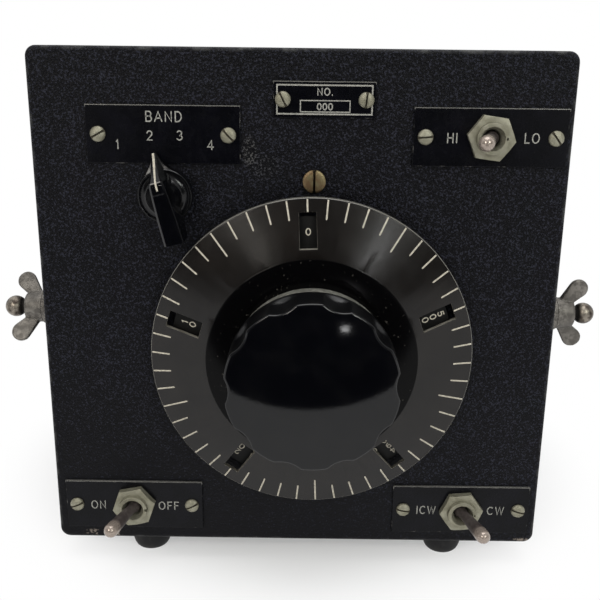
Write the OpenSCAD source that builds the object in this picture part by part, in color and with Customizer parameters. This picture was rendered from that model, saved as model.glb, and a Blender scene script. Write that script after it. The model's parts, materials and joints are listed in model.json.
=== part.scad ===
// Bench radio transmitter with a micrometer tuning dial
// Millimetres, +Z up, front panel facing -Y. The origin is on the ground, under the middle of the whole set.

/* [Cabinet] */
// Width of the front panel
case_w = 163; // [150:1:190]
// Height of the front panel
case_h = 163; // [155:1:190]
// Depth from the panel's front face to the back of the case
case_d = 150; // [145:1:200]
// Thickness of the panel and case sheet
sheet_t = 1.6; // [1:0.1:2]
// Radius of the panel's corners, seen from the front
corner_r = 3.2; // [2:0.1:6]
// Radius of the bend around the panel's front edge
edge_r = 1.2; // [0.8:0.1:1.5]
// Depth of the panel's side flange
flange_d = 24; // [20:1:34]
// Gap between the panel's flange and the case
case_gap = 0.15; // [0.1:0.05:0.4]

/* [Feet] */
// Height of a rubber foot
foot_h = 8.7; // [6:0.1:14]
// Radius of a foot at its top
foot_r = 6.9; // [5:0.1:9]
// Radius of a foot where it meets the table
foot_base_r = 4.8; // [4.4:0.1:6]
// Height of the rounded lower part of a foot
foot_dome_h = 5.5; // [3:0.1:6]
// From the case's sides to the middles of the feet
foot_side = 29.5; // [20:0.5:40]
// From the panel's front face to the front feet
foot_front = 12; // [10:0.5:30]
// From the back of the case to the rear feet
foot_back = 16; // [12:1:40]

/* [Tuning dial] */
// Dial axis to the right of the panel's middle
dial_x = 4.1; // [0:0.1:8]
// Dial axis above the panel's middle
dial_z = -12.2; // [-16:0.1:-8]
// Radius of the dial
dial_r = 50.8; // [48:0.1:54]
// Front edge of the rim in front of the panel
rim_front = 5.5; // [5:0.1:8]
// Thickness of the rim
rim_t = 2; // [1.5:0.1:3]
// Inner radius of the graduated cone
cone_r = 33; // [32:0.1:35]
// Rise of the graduated cone from rim to hub
cone_rise = 5; // [4:0.1:7]
// Wall of the dial shell
shell_t = 1.8; // [1.2:0.1:2.2]
// Radius of the flare where the knob sits on it
flare_r = 25.4; // [24:0.1:27]
// Rise of the flare from the cone to the knob
flare_rise = 0.6; // [0.3:0.1:3]
// Number of windows in the dial
windows = 5;
// Width of a window
window_w = 5.3; // [4.5:0.1:6.5]
// Inner end of a window, from the axis
window_in = 35.8; // [34:0.1:38]
// Outer end of a window, from the axis
window_out = 46.6; // [45:0.1:48]
// Turn of the dial short of its zero line, in degrees
rest_turn = 2.3; // [0:0.1:3.6]

/* [Number disc] */
// Outer radius of the number disc
disc_r = 44.5; // [40:0.1:46]
// Gap between the dial shell and the disc
disc_gap = 0.8; // [0.5:0.1:1.5]
// Thickness of the disc
disc_t = 1; // [0.8:0.1:1.4]
// Distance between the disc's axis and the dial's axis
disc_shift = 0.55; // [0.5:0.01:0.6]
// Teeth on the dial's hub gear, one fewer than on the disc
hub_teeth = 50;
// Half the height of a hub gear tooth
hub_tooth_a = 0.35; // [0.2:0.01:0.4]
// Radial clearance of the hub gear in the disc
hub_play = 0.14; // [0.12:0.01:0.2]
// Radius of the seat that the disc turns on
seat_r = 32.5; // [31.5:0.1:33]
// Thickness of the hub gear
hub_gear_t = 1.6; // [1.2:0.1:2.5]

/* [Tuning knob] */
// Radius of the tuning knob
knob_r = 25.7; // [24:0.1:27]
// Length of the tuning knob
knob_l = 21.8; // [18:0.1:26]
// Length of the knob's plain collar, behind its flutes
collar_l = 8.8; // [4:0.1:10]
// How far the collar stands in from the knob's rim
collar_in = 1.4; // [0.5:0.1:3]
// Height of the knob's domed face
knob_dome = 1.4; // [0.5:0.1:3]
// Radius of the knob's front edge
knob_edge = 1.7; // [1:0.1:4]
// Number of finger flutes
flutes = 10;
// Radius of a flute
flute_r = 8; // [6:0.1:10]
// Depth of a flute
flute_d = 1.4; // [1:0.1:2]

/* [Dial drive] */
// Radius of the dial shaft and the other control shafts
shaft_r = 3.175; // [3:0.005:3.4]
// Radial clearance of a shaft in its bearing
run_fit = 0.04; // [0.02:0.01:0.08]
// Pitch of the worm
worm_pitch = 4; // [3.8:0.1:4.2]
// Middle radius of the worm's thread
worm_r = 5.6; // [5.4:0.1:6]
// Half the height of the worm's thread
worm_a = 0.9; // [0.7:0.05:0.95]
// Turns of thread on the worm
worm_turns = 5;
// Teeth of the worm wheel
wheel_teeth = 20;
// Width of the worm wheel
wheel_w = 7; // [5:0.5:8]
// Clearance between worm and wheel
worm_play = 0.16; // [0.15:0.01:0.25]
// Worm wheel axis behind the panel's front face
wheel_y = 33; // [32:0.5:36]
// Wall of the gear housing
housing_t = 3; // [2:0.5:4]
// Inner width of the gear housing
housing_w = 26; // [24:1:30]
// Inner depth of the gear housing
housing_l = 32; // [30:1:36]

/* [Tuning condenser] */
// Radius of the rotor plates
rotor_r = 22; // [18:0.5:24]
// Number of rotor plates
rotor_plates = 8;
// From the frame's end plates to the first moving plates
plate_margin = 3.1; // [3:0.1:4]
// Thickness of a condenser plate
plate_t = 0.8; // [0.5:0.1:1.2]
// Gap between the gear housing and the condenser's first end plate
frame_gap = 5; // [3:0.5:8]
// Room between the condenser's frame and the case's side
frame_side = 6.05; // [5:0.05:8]
// Thickness of the condenser's end plates
frame_t = 2; // [1.5:0.5:3]

/* [Band switch] */
// How far the band switch is below the middle of its plate
band_drop = 17.9; // [16:0.1:20]
// Angle between two band positions, in degrees
band_step = 30;
// Turn of the knob at rest, in degrees from upright
band_rest = -15;
// Radius of the pointer knob's skirt
skirt_r = 8.2; // [7.5:0.1:10]
// Height of the pointer knob
pointer_h = 12; // [11:0.5:16]
// Pointer tip from the axis
pointer_tip = 13; // [11:0.1:15]
// Radius of a switch wafer
wafer_r = 17; // [15:0.5:18]
// Distance between the switch wafers
wafer_pitch = 18; // [14:1:20]
// Number of wafers
wafers = 2;

/* [Toggle switches] */
// Radius of the threaded switch bushings
bush_r = 4.76; // [4.5:0.01:4.9]
// Width of the hex nuts across their flats
nut_flats = 12.7; // [12:0.1:14]
// Thickness of the hex nuts
nut_t = 2.4; // [2:0.1:3]
// Front end of the bushings in front of the panel
bush_front = 4.8; // [4.4:0.1:6]
// Length of a lever from its pivot to its ball
lever_l = 16.3; // [14:0.1:18]
// Throw of a lever to each side, in degrees
lever_throw = 16; // [12:0.5:17]
// Radius of the ball on a lever's tip
lever_ball_r = 2.3; // [2:0.05:2.8]
// Width of a toggle switch body
toggle_w = 27; // [24:1:30]
// Height of a toggle switch body
toggle_h = 14; // [12:0.5:14.5]
// Depth of a toggle switch body
toggle_d = 20; // [16:1:24]

/* [Plates] */
// Width of a switch plate
plate_w = 46.2; // [44:0.1:48]
// Height of a switch plate
plate_h = 17.4; // [15:0.1:18]
// Thickness of a switch plate
label_t = 0.8; // [0.5:0.1:1]
// Distance between the two screws of a switch plate
plate_screws = 39; // [36:0.1:41]
// Radius of a plate screw's head
screw_head_r = 2.35; // [2:0.05:2.8]
// Width of the serial plate
serial_w = 30.4; // [28:0.1:34]
// Height of the serial plate
serial_h = 10.6; // [9:0.1:12]
// Distance between the serial plate's screws
serial_screws = 24.7; // [22:0.1:26]
// Radius of the index screw's head
index_r = 3.5; // [3:0.1:3.7]

/* [Side studs] */
// Studs behind the panel's front face
stud_y = 13; // [10:0.5:18]
// Studs above the panel's middle
stud_z = -2.2; // [-6:0.1:4]
// Radius of a stud
stud_r = 2.4; // [2:0.05:2.6]
// Radius of the ball that keeps the wing nut on
ball_r = 3.5; // [3:0.1:4]
// Length of the ball, which is cut flat towards the nut
ball_l = 5.9; // [4:0.1:6.5]
// Thickness of a stud's clamp washer
washer_t = 3.2; // [2:0.1:4]
// Radius of a clamp washer
washer_r = 5.6; // [5.4:0.1:7]
// Length of the wing nut's hub
wing_hub_l = 6; // [5:0.1:8]
// Reach of the wings outward, from the hub's base
wing_reach = 10; // [8:0.1:12]
// Radius of the wing nut's hub
wing_hub_r = 5.3; // [4.4:0.1:5.5]
// Height of the wing tips from the stud's axis
wing_span = 12; // [10:0.1:14]
// Travel of a wing nut from tight to the ball
wing_travel = 1.2; // [1:0.1:3]

/* [Chassis] */
// Height of the deck above the case's floor
chassis_up = 34.75; // [33.75:0.25:35.75]
// Thickness of the chassis sheet
chassis_t = 1.5; // [1:0.1:2]
// Side margin between the chassis and the case
chassis_gap = 1.2; // [0.8:0.1:3]

/* [Tubes and coils] */
// Number of tubes
tubes = 3;
// Height of a tube's glass above its base
glass_h = 62; // [50:1:68]
// Height of a tube's base
tube_base_h = 22; // [18:1:26]
// Room beside the tubes
tube_room = 2; // [1.5:0.1:3]
// Radius of a coil former
former_r = 10; // [8:0.5:11]
// Number of band coils
coils = 4;

/* [Power supply] */
// Width of the mains transformer
trafo_w = 48; // [40:1:50]
// Height of the mains transformer
trafo_h = 46; // [40:1:60]
// Depth of the mains transformer's core
trafo_d = 30; // [24:1:36]
// Radius of a filter condenser
filter_r = 10.5; // [8:0.5:12]
// Length of a filter condenser
filter_l = 46; // [40:1:52]

/* [Rear terminals] */
// Radius of a terminal stud
terminal_r = 2.08; // [1.9:0.01:2.4]
// Bare length of a terminal stud
terminal_l = 12; // [10:0.5:15]
// Radius of the key jack's bore
jack_r = 3.2; // [3.1:0.05:3.4]
// Length of the key jack's bushing
jack_l = 10; // [8:0.5:12]

/* [Hidden] */
$fn = 48;

knob_sink = 0.4;
knob_front = rim_front + cone_rise + flare_rise + knob_l + knob_dome - knob_sink;
terminal_base = 6;
terminal_out = terminal_base + terminal_l;
total_l = knob_front + case_d + terminal_out;
panel_y = knob_front - total_l / 2;
panel_z = foot_h + case_h / 2;

inner_w = case_w - 2 * sheet_t - 2 * case_gap;
inner_h = case_h - 2 * sheet_t - 2 * case_gap;
case_front = sheet_t + 0.4;

flat_gap = 0.05;
hole_gap = 0.15;
screw_r = 1.05;
index_shank_r = 1.7;
side_x = case_w / 2;
foot_z = -case_h / 2;
foot_pitch_x = case_w - 2 * foot_side;
foot_screw_r = 1.7;
foot_web = 2.6;
foot_recess_r = 3.6;
vent_r = 2.5;
vent_pitch_x = 12;
case_floor = -inner_h / 2;

cone_front = rim_front + cone_rise;
flare_front = cone_front + flare_rise;
rim_back = rim_front - rim_t;
rim_chamfer = 0.3;
dial_hub_r = 13;
cone_slope = cone_rise / (dial_r - cone_r);
disc_face = rim_front - shell_t - disc_gap;
web_front = disc_face + cone_slope * (dial_r - seat_r) - 0.4;
ring_teeth = hub_teeth + 1;
ring_r = ring_teeth * disc_shift;
hub_gear_r = hub_teeth * disc_shift;
seat_front = web_front - hub_gear_t - 0.4;
seat_lip = 1.2;
wheel_r = wheel_teeth * worm_pitch / (2 * PI);
wheel_z = dial_z + worm_r + wheel_r + worm_play;
housing_y = wheel_y - housing_l / 2;
housing_out = housing_w / 2 + housing_t;
housing_top = wheel_z + wheel_r + 4;
shaft_back = housing_y + housing_l + housing_t + 2;
frame_x = dial_x + housing_out + frame_gap;
frame_w = 52;
frame_l = inner_w / 2 - sheet_t - frame_side - 2 * frame_t - frame_x;
plate_span = frame_l - 2 * plate_margin;
plate_pitch = plate_span / rotor_plates;
stator_rod_y = rotor_r + 2.7;
stator_rod_r = 1.5;
first_wafer = 19;
wafer_t = 1.6;
wafer_rotor_r = 8;
band_rod_x = 14;
band_rod_r = 1.15;
band_plate_back = sheet_t + 4.4;
band_back = first_wafer + wafer_pitch * (wafers - 1) + wafer_t + 5;
level_at = [case_w / 2 - 24.9, case_h / 2 - 25.1];
mains_at = [26.3 - case_w / 2, 13.3 - case_h / 2];
mode_at = [case_w / 2 - 25.9, 12.9 - case_h / 2];
toggles_at = [level_at, mains_at, mode_at];
nut_turns = [8, -11, -5];
band_plate_at = [40.2 - case_w / 2, case_h / 2 - 25.3];
serial_at = [dial_x + 2.7, case_h / 2 - 14.6];
band_x = band_plate_at[0] + 0.5;
band_z = band_plate_at[1] - band_drop;
labels_at = concat(toggles_at, [band_plate_at]);
slot_turns = [[85, -38], [67, 63], [100, -74], [61, -43]];
screw_spots = concat(
    [for (i = [0 : 3], s = [0, 1])
        [labels_at[i][0] + (s - 0.5) * plate_screws, labels_at[i][1], slot_turns[i][s]]],
    [for (s = [0, 1]) [serial_at[0] + (s - 0.5) * serial_screws, serial_at[1], s == 0 ? -27 : 6]]);
index_at = [dial_x, dial_z + dial_r + index_r + 0.6];
toggle_back = sheet_t + chassis_t + 2 * flat_gap;
lever_pivot = 1.5;
bush_mouth_r = 3.6;
lever_slack = 0.3;
lever_root_r = 1.45;
lever_tip_r = 2.2;
pivot_r = 2.3;
washer_play = 0.3;
hub_at = side_x + washer_t + 2 * flat_gap;
ball_at = hub_at + wing_hub_l + wing_travel + flat_gap;
wing_tip_r = 3.1;
apron_front = sheet_t + flat_gap;
bush_flange = 2.2;
chassis_z = case_floor + chassis_up;
apron_h = chassis_up - sheet_t - 0.3;
apron_back = case_d - sheet_t - 0.3;
chassis_w = inner_w - 2 * sheet_t - 2 * chassis_gap;
base_z = chassis_z + 3.6;
glass_z = base_z + tube_base_h - 6;
trafo_x = chassis_w / 2 - trafo_w / 2 - 0.95;
trafo_y = apron_back - 36.1;
tube_pitch = (trafo_x - trafo_w / 2 + chassis_w / 2 - 2.95) / tubes;
glass_r = tube_pitch / 2 - tube_room;
tube_base_r = glass_r - 2;
tube_x = 18.95 - chassis_w / 2;
tube_y = apron_back - 31.1;
coil_x = 10.95 - chassis_w / 2;
coil_y = (shaft_back + tube_y - glass_r) / 2 - 2;
coil_pitch = (chassis_w - 3.9) / 6;
former_h = 44;
winding_h = 28;
choke_w = 26;
choke_d = 24;
choke_y = 34;
filter_y = choke_y + choke_d + filter_r + 3.5;
filter_pitch = 2 * filter_r + 2;
rear_z = case_floor + 17.75;
jack_at = [21.75 - inner_w / 2, rear_z];
ground_at = [jack_at[0] + 32, rear_z];
antenna_at = [ground_at[0] + 26, rear_z];
inlet_at = [inner_w / 2 - 33.75, rear_z];
vent_rows = [for (i = [0 : 2]) inner_h / 2 - 35.75 + 8 * i];
insulator_r = 3.6;
pin_r = 1.2;
pin_circle_r = 8;

function arc(r, a0, a1, n, c = [0, 0]) =
    [for (i = [0 : n]) let (a = a0 + (a1 - a0) * i / n) [c[0] + r * cos(a), c[1] + r * sin(a)]];
function wave_ring(r, a, teeth, phase) =
    [for (i = [0 : teeth * 8 - 1])
        let (t = i * 45 / teeth)
        (r + a * cos(teeth * (t - phase))) * [cos(t), sin(t)]];

// Placing: x to the right, y back from the panel's front face, z up from the panel's middle

module on_panel() {
    translate([0, panel_y, panel_z]) children();
}

module on_dial(turn = -rest_turn) {
    on_panel() translate([dial_x, 0, dial_z]) rotate([0, turn, 0]) children();
}

module rod_y(r, y0, y1) {
    translate([0, y0, 0]) rotate([-90, 0, 0]) cylinder(r = r, h = y1 - y0);
}

module rod_x(r, x0, x1) {
    translate([x0, 0, 0]) rotate([0, 90, 0]) cylinder(r = r, h = x1 - x0);
}

module turned() {
    rotate([-90, 0, 0]) rotate_extrude($fn = 96) children();
}

module cut_out(y0, y1) {
    translate([0, y1, 0]) rotate([90, 0, 0]) linear_extrude(y1 - y0) children();
}

module round_rect(w, h, r) {
    square([w - 2 * r, h], center = true);
    square([w, h - 2 * r], center = true);
    for (x = [-1, 1], y = [-1, 1]) translate([x * (w / 2 - r), y * (h / 2 - r)]) circle(r = r, $fn = 32);
}

module box(size, at) {
    translate(at) translate([-size[0] / 2, 0, -size[2] / 2]) cube(size);
}

module slotted_screw(head_r, head_t, shank_r, shank_l, slot_w, slot_turn) {
    dome = (head_r * head_r + head_t * head_t) / (2 * head_t);
    difference() {
        union() {
            intersection() {
                translate([0, dome - head_t, 0]) sphere(r = dome, $fn = 64);
                rod_y(head_r, -head_t, 0);
            }
            rod_y(shank_r, 0, shank_l);
        }
        rotate([0, slot_turn, 0]) box([slot_w, head_t * 0.55, head_r * 2.2], [0, -head_t - 0.01, 0]);
    }
}

module hex_nut(flats, t, bore, y_back) {
    cut_out(y_back - t, y_back) difference() {
        circle(d = flats / cos(30), $fn = 6);
        circle(r = bore);
    }
}

// Cabinet

module front_panel() {
    color([0.11, 0.11, 0.13]) on_panel() difference() {
        hull() {
            for (a = [0 : 30 : 90]) let (inset = 2 * edge_r * (1 - cos(a)))
                cut_out(edge_r * (1 - sin(a)), flange_d)
                    round_rect(case_w - inset, case_h - inset, corner_r);
        }
        cut_out(sheet_t, flange_d + 1)
            round_rect(case_w - 2 * sheet_t, case_h - 2 * sheet_t, corner_r - sheet_t);
        for (at = toggles_at) translate([at[0], 0, at[1]]) rod_y(bush_r + hole_gap, -1, 5);
        translate([band_x, 0, band_z]) rod_y(bush_r + hole_gap, -1, 5);
        translate([dial_x, 0, dial_z]) rod_y(bush_r + hole_gap, -1, 5);
        translate([index_at[0], 0, index_at[1]]) rod_y(index_shank_r + hole_gap, -1, 5);
        plate_screw_places() rod_y(screw_r + hole_gap, -1, 5);
        for (side = [-1, 1]) translate([side * side_x, stud_y, stud_z]) {
            rod_x(stud_r + hole_gap, -5, 5);
            translate([-5, 0, -stud_r - hole_gap]) cube([10, flange_d, 2 * (stud_r + hole_gap)]);
        }
        for (x = [-1, 1]) translate([x * foot_pitch_x / 2, foot_front, foot_z]) {
            cylinder(r = foot_screw_r + hole_gap, h = 10, center = true);
            translate([-foot_screw_r - hole_gap, 0, -5]) cube([2 * (foot_screw_r + hole_gap), flange_d, 10]);
        }
    }
}

module case_shell() {
    color([0.1, 0.1, 0.12]) on_panel() difference() {
        cut_out(case_front, case_d) round_rect(inner_w, inner_h, corner_r - sheet_t);
        cut_out(case_front - 1, case_d - sheet_t)
            round_rect(inner_w - 2 * sheet_t, inner_h - 2 * sheet_t, 0.4);
        box([chassis_w - 16, 10, apron_h - 8], [0, case_d - 5, chassis_z - apron_h / 2]);
        for (side = [-1, 1])
            translate([side * inner_w / 2, stud_y, stud_z]) rod_x(stud_r + hole_gap, -5, 5);
        foot_places() cylinder(r = foot_screw_r + hole_gap, h = 12, center = true);
        for (x = [-60 : vent_pitch_x : 60], z = vent_rows)
            translate([x, 0, z]) rod_y(vent_r, case_d - 5, case_d + 1);
    }
}

module foot_places() {
    for (x = [-1, 1], y = [foot_front, case_d - foot_back])
        translate([x * foot_pitch_x / 2, y, foot_z]) children();
}

module rubber_feet() {
    color([0.06, 0.06, 0.06]) on_panel() foot_places() translate([0, 0, -foot_h]) difference() {
        rotate_extrude() polygon(concat(
            [[0, 0]],
            [for (a = [-90 : 15 : 0])
                [foot_base_r + (foot_r - foot_base_r) * cos(a), foot_dome_h * (1 + sin(a))]],
            [[foot_r, foot_h - flat_gap], [0, foot_h - flat_gap]]));
        translate([0, 0, -1]) cylinder(r = foot_recess_r, h = foot_h - foot_web + 1);
        cylinder(r = foot_screw_r + hole_gap, h = 40, center = true);
    }
}

// The rear feet sit on a spacer as thick as the panel's flange, which the front feet clamp

module foot_screws() {
    spacer_h = case_floor - foot_z;
    nut_z = spacer_h + sheet_t;
    color([0.5, 0.5, 0.48]) on_panel() {
        foot_places() {
            translate([0, 0, -foot_web - 2]) cylinder(r = 3, h = 2 - flat_gap);
            translate([0, 0, -foot_web - 1]) cylinder(r = foot_screw_r, h = foot_web + nut_z + 2.8);
            translate([0, 0, nut_z + flat_gap]) cylinder(r = 3.4, h = 1.7, $fn = 6);
        }
        for (x = [-1, 1]) translate([x * foot_pitch_x / 2, case_d - foot_back, foot_z]) difference() {
            cylinder(r = 5, h = spacer_h - flat_gap);
            cylinder(r = foot_screw_r + hole_gap, h = 10, center = true);
        }
    }
}

module label(w, h, at, bores, screw_pitch) {
    translate([at[0], 0, at[1]]) cut_out(-label_t, 0) difference() {
        round_rect(w, h, 0.8);
        for (x = [-1, 1]) translate([x * screw_pitch / 2, 0]) circle(r = screw_r + hole_gap);
        for (b = bores) circle(r = b);
    }
}

module serial_plate() {
    color([0.09, 0.09, 0.11]) on_panel() label(serial_w, serial_h, serial_at, [], serial_screws);
}

module band_plate() {
    color([0.09, 0.09, 0.11]) on_panel() label(plate_w, plate_h, band_plate_at, [], plate_screws);
}

module level_plate() {
    color([0.09, 0.09, 0.11]) on_panel() label(plate_w, plate_h, level_at, [bush_r + hole_gap], plate_screws);
}

module mains_plate() {
    color([0.09, 0.09, 0.11]) on_panel() label(plate_w, plate_h, mains_at, [bush_r + hole_gap], plate_screws);
}

module mode_plate() {
    color([0.09, 0.09, 0.11]) on_panel() label(plate_w, plate_h, mode_at, [bush_r + hole_gap], plate_screws);
}

module plate_screw_places() {
    for (spot = screw_spots) translate([spot[0], 0, spot[1]]) children();
}

module plate_screws() {
    color([0.6, 0.58, 0.5]) on_panel() for (spot = screw_spots)
        translate([spot[0], -label_t - flat_gap, spot[1]])
            slotted_screw(screw_head_r, 1.4, screw_r, 4.5, 0.6, spot[2]);
}

module index_screw() {
    color([0.55, 0.42, 0.25]) on_panel() translate([index_at[0], -flat_gap, index_at[1]])
        slotted_screw(index_r, 1.9, index_shank_r, 6, 0.75, 0);
}

// Tuning dial: a shell with a conical scale, on a hub that is fixed to the dial shaft

module dial_shell() {
    hub_back = shell_t + 0.8 - flare_front;
    color([0.13, 0.12, 0.11]) on_dial() difference() {
        turned() polygon(concat(
            [[shaft_r + run_fit, -flare_front], [flare_r, -flare_front]],
            [for (t = [1 / 6 : 1 / 6 : 0.9])
                [flare_r + (cone_r - flare_r) * t, -flare_front + flare_rise * sin(90 * t)]],
            [[cone_r, -cone_front], [dial_r - rim_chamfer, -rim_front]],
            [[dial_r, -rim_front + rim_chamfer], [dial_r, -rim_back]],
            [[dial_r - 1.5, -rim_back], [dial_r - 3, shell_t - rim_front - 3 * cone_slope]],
            [[cone_r, shell_t - cone_front], [flare_r, hub_back], [dial_hub_r, hub_back]],
            [[dial_hub_r, -web_front], [shaft_r + run_fit, -web_front]]));
        for (k = [0 : windows - 1]) rotate([0, -k * 360 / windows, 0])
            translate([-window_w / 2, -cone_front - 1, window_in])
                cube([window_w, cone_front, window_out - window_in]);
    }
}

module hub_gear() {
    color([0.72, 0.6, 0.32]) on_dial() cut_out(-web_front, -web_front + hub_gear_t) difference() {
        polygon(wave_ring(hub_gear_r - hub_play / 2, hub_tooth_a, hub_teeth, -90 - rest_turn));
        circle(r = shaft_r + run_fit);
    }
}

module number_disc() {
    edge_y = -disc_face - cone_slope * (dial_r - disc_r);
    skirt_out = seat_r + 1.6;
    skirt_in = seat_r + run_fit;
    color([0.07, 0.07, 0.08]) on_dial(0) translate([0, 0, disc_shift]) difference() {
        turned() polygon([
            [26, -web_front], [seat_r + 0.05, -web_front], [disc_r, edge_y], [disc_r, edge_y + disc_t],
            [skirt_out, -web_front + disc_t + 0.4], [skirt_out, -seat_lip], [skirt_in, -seat_lip],
            [skirt_in, -seat_front], [26, -seat_front]]);
        cut_out(-web_front - 1, 1) polygon(wave_ring(ring_r + hub_play / 2, hub_tooth_a, ring_teeth, -90));
    }
}

module disc_seat() {
    color([0.6, 0.6, 0.6]) on_panel() translate([dial_x, 0, dial_z]) difference() {
        union() {
            translate([0, 0, disc_shift]) rod_y(seat_r, -seat_front + 0.1, -seat_lip + 0.2);
            translate([0, 0, disc_shift]) rod_y(seat_r - 2, -seat_lip, -flat_gap);
        }
        rod_y(bush_r + hole_gap, -20, 1);
        rod_y(nut_flats * 0.62, -seat_front - 1, -bush_flange);
    }
}

module tuning_knob() {
    back = flare_front + flat_gap;
    face = flare_front + knob_l - knob_sink;
    head = back + collar_l;
    collar_r = knob_r - collar_in;
    dome = (knob_r * knob_r + knob_dome * knob_dome) / (2 * knob_dome);
    color([0.03, 0.03, 0.04]) on_dial() difference() {
        intersection() {
            turned() polygon(concat(
                [[0, -back], [collar_r - 0.3, -back], [collar_r, -back - 0.3], [collar_r, -head]],
                [[knob_r - 0.3, -head], [knob_r, -head - 0.3]],
                [for (p = arc(knob_edge, 0, 90, 5, [knob_r - knob_edge, face - knob_edge])) [p[0], -p[1]]],
                [[0, -face - knob_dome]]));
            translate([0, dome - face - knob_dome, 0]) sphere(r = dome, $fn = 96);
        }
        for (k = [0 : flutes - 1]) rotate([0, (k + 0.5) * 360 / flutes, 0])
            translate([0, 0, knob_r - flute_d + flute_r]) rod_y(flute_r, -face - 5, -head - 1.5);
        rod_y(shaft_r + run_fit, -flare_front - 14, 0);
        for (a = [90, 180]) rotate([0, a, 0]) translate([0, -flare_front - 6, 0]) cylinder(r = 1.6, h = 30);
    }
}

module knob_set_screws() {
    color([0.4, 0.4, 0.4]) on_dial() for (a = [90, 180]) rotate([0, a, 0])
        translate([0, -flare_front - 6, shaft_r + 0.1]) cylinder(r = 1.5, h = 6);
}

module dial_shaft() {
    color([0.7, 0.7, 0.7]) on_dial() rod_y(shaft_r, -flare_front - 13, shaft_back);
}

module worm() {
    l = worm_pitch * worm_turns;
    color([0.45, 0.45, 0.47]) on_panel()
        translate([dial_x, wheel_y - l / 2, dial_z]) rotate([-90, 0, 0]) difference() {
            linear_extrude(l, twist = -360 * worm_turns, slices = 16 * worm_turns)
                translate([0, worm_a]) circle(r = worm_r, $fn = 28);
            translate([0, 0, -1]) cylinder(r = shaft_r + run_fit, h = l + 2);
        }
}

module panel_bushing() {
    color([0.7, 0.58, 0.3]) on_panel() translate([dial_x, 0, dial_z]) difference() {
        union() {
            rod_y(bush_r, -bush_flange - 1, sheet_t + 3);
            rod_y(nut_flats / 2, -bush_flange - 1.6, -bush_flange - flat_gap);
            rod_y(bush_r + 2, sheet_t + flat_gap, sheet_t + 3);
        }
        rod_y(shaft_r + run_fit, -10, 10);
    }
}

module gear_housing() {
    color([0.55, 0.55, 0.56]) on_panel() difference() {
        translate([dial_x - housing_out, housing_y - housing_t, chassis_z + flat_gap])
            cube([2 * housing_out, housing_l + 2 * housing_t, housing_top - chassis_z - flat_gap]);
        translate([dial_x - housing_w / 2, housing_y, chassis_z + housing_t])
            cube([housing_w, housing_l, housing_top - chassis_z]);
        translate([dial_x, 0, dial_z]) rod_y(shaft_r + run_fit, housing_y - 10, shaft_back + 10);
        translate([0, wheel_y, wheel_z]) rod_x(shaft_r + run_fit, dial_x - 30, dial_x + 30);
    }
}

module housing_cover() {
    color([0.5, 0.5, 0.52]) on_panel()
        translate([dial_x - housing_out, housing_y - housing_t, housing_top + flat_gap])
            cube([2 * housing_out, housing_l + 2 * housing_t, 1.5]);
}

module worm_wheel() {
    swing = worm_pitch / (2 * PI * worm_r) * wheel_w / wheel_r * 180 / PI;
    color([0.72, 0.6, 0.32]) on_panel()
        translate([dial_x - wheel_w / 2, wheel_y, wheel_z]) rotate([0, 90, 0]) difference() {
            union() {
                rotate([0, 0, -swing / 2]) linear_extrude(wheel_w, twist = -swing, slices = 4)
                    polygon(wave_ring(wheel_r, -worm_a, wheel_teeth, 0));
                translate([0, 0, -2]) cylinder(r = 7, h = wheel_w + 4);
            }
            translate([0, 0, -3]) cylinder(r = shaft_r + run_fit, h = wheel_w + 6);
        }
}

// Tuning condenser, on the worm wheel's shaft

module rotor_shaft() {
    color([0.7, 0.7, 0.7]) on_panel() translate([0, wheel_y, wheel_z])
        rod_x(shaft_r, dial_x - housing_out - 1, frame_x + frame_l + 2 * frame_t + 1);
}

module plate_places(count, start) {
    for (i = [0 : count - 1])
        translate([frame_x + frame_t + plate_margin + start + i * plate_pitch, wheel_y, wheel_z]) children();
}

module rotor_plates() {
    color([0.75, 0.76, 0.76]) on_panel() difference() {
        union() {
            plate_places(rotor_plates, plate_pitch / 2) difference() {
                rod_x(rotor_r, -plate_t / 2, plate_t / 2);
                translate([-2, -30, 2.5]) cube([4, 60, 30]);
            }
            plate_places(1, 0) rod_x(5.2, 0, plate_span);
        }
        plate_places(1, 0) rod_x(shaft_r + run_fit, -10, plate_span + 10);
    }
}

module stator_plates() {
    color([0.75, 0.76, 0.76]) on_panel() difference() {
        union() {
            plate_places(rotor_plates + 1, 0)
                translate([-plate_t / 2, -rotor_r - 4.5, -rotor_r - 4])
                    cube([plate_t, 2 * rotor_r + 9, rotor_r + 1.5]);
            for (y = [-1, 1]) plate_places(1, 0) translate([0, y * stator_rod_y, -6])
                rod_x(stator_rod_r, flat_gap - plate_margin, plate_span + plate_margin - flat_gap);
        }
        plate_places(1, 0) rod_x(7, -10, plate_span + 10);
    }
}

module stator_bars() {
    bar_t = plate_margin - plate_t / 2 - 2 * flat_gap;
    inner_x = frame_x + frame_t;
    color([0.85, 0.83, 0.78]) on_panel() for (x = [inner_x + flat_gap, inner_x + frame_l - bar_t - flat_gap])
        difference() {
            translate([x, wheel_y - rotor_r - 5, wheel_z - 9]) cube([bar_t, 2 * rotor_r + 10, 6]);
            for (y = [-1, 1]) translate([x, wheel_y + y * stator_rod_y, wheel_z - 6])
                rod_x(stator_rod_r + flat_gap, -1, bar_t + 1);
            translate([x, wheel_y, wheel_z]) rod_x(7, -1, bar_t + 1);
        }
}

module condenser_frame() {
    color([0.62, 0.63, 0.63]) on_panel() {
        difference() {
            union() {
                for (x = [frame_x, frame_x + frame_t + frame_l])
                    translate([x, wheel_y - frame_w / 2, chassis_z + flat_gap])
                        cube([frame_t, frame_w, wheel_z + frame_w / 2 - chassis_z - flat_gap]);
                for (y = [-1, 1], z = [23, -34]) translate([0, wheel_y + y * 23, wheel_z + z])
                    rod_x(2.5, frame_x + 0.5, frame_x + frame_l + 1.5 * frame_t);
            }
            translate([0, wheel_y, wheel_z]) rod_x(shaft_r + run_fit, frame_x - 5, frame_x + frame_l + 20);
        }
    }
}

// Band switch

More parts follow.
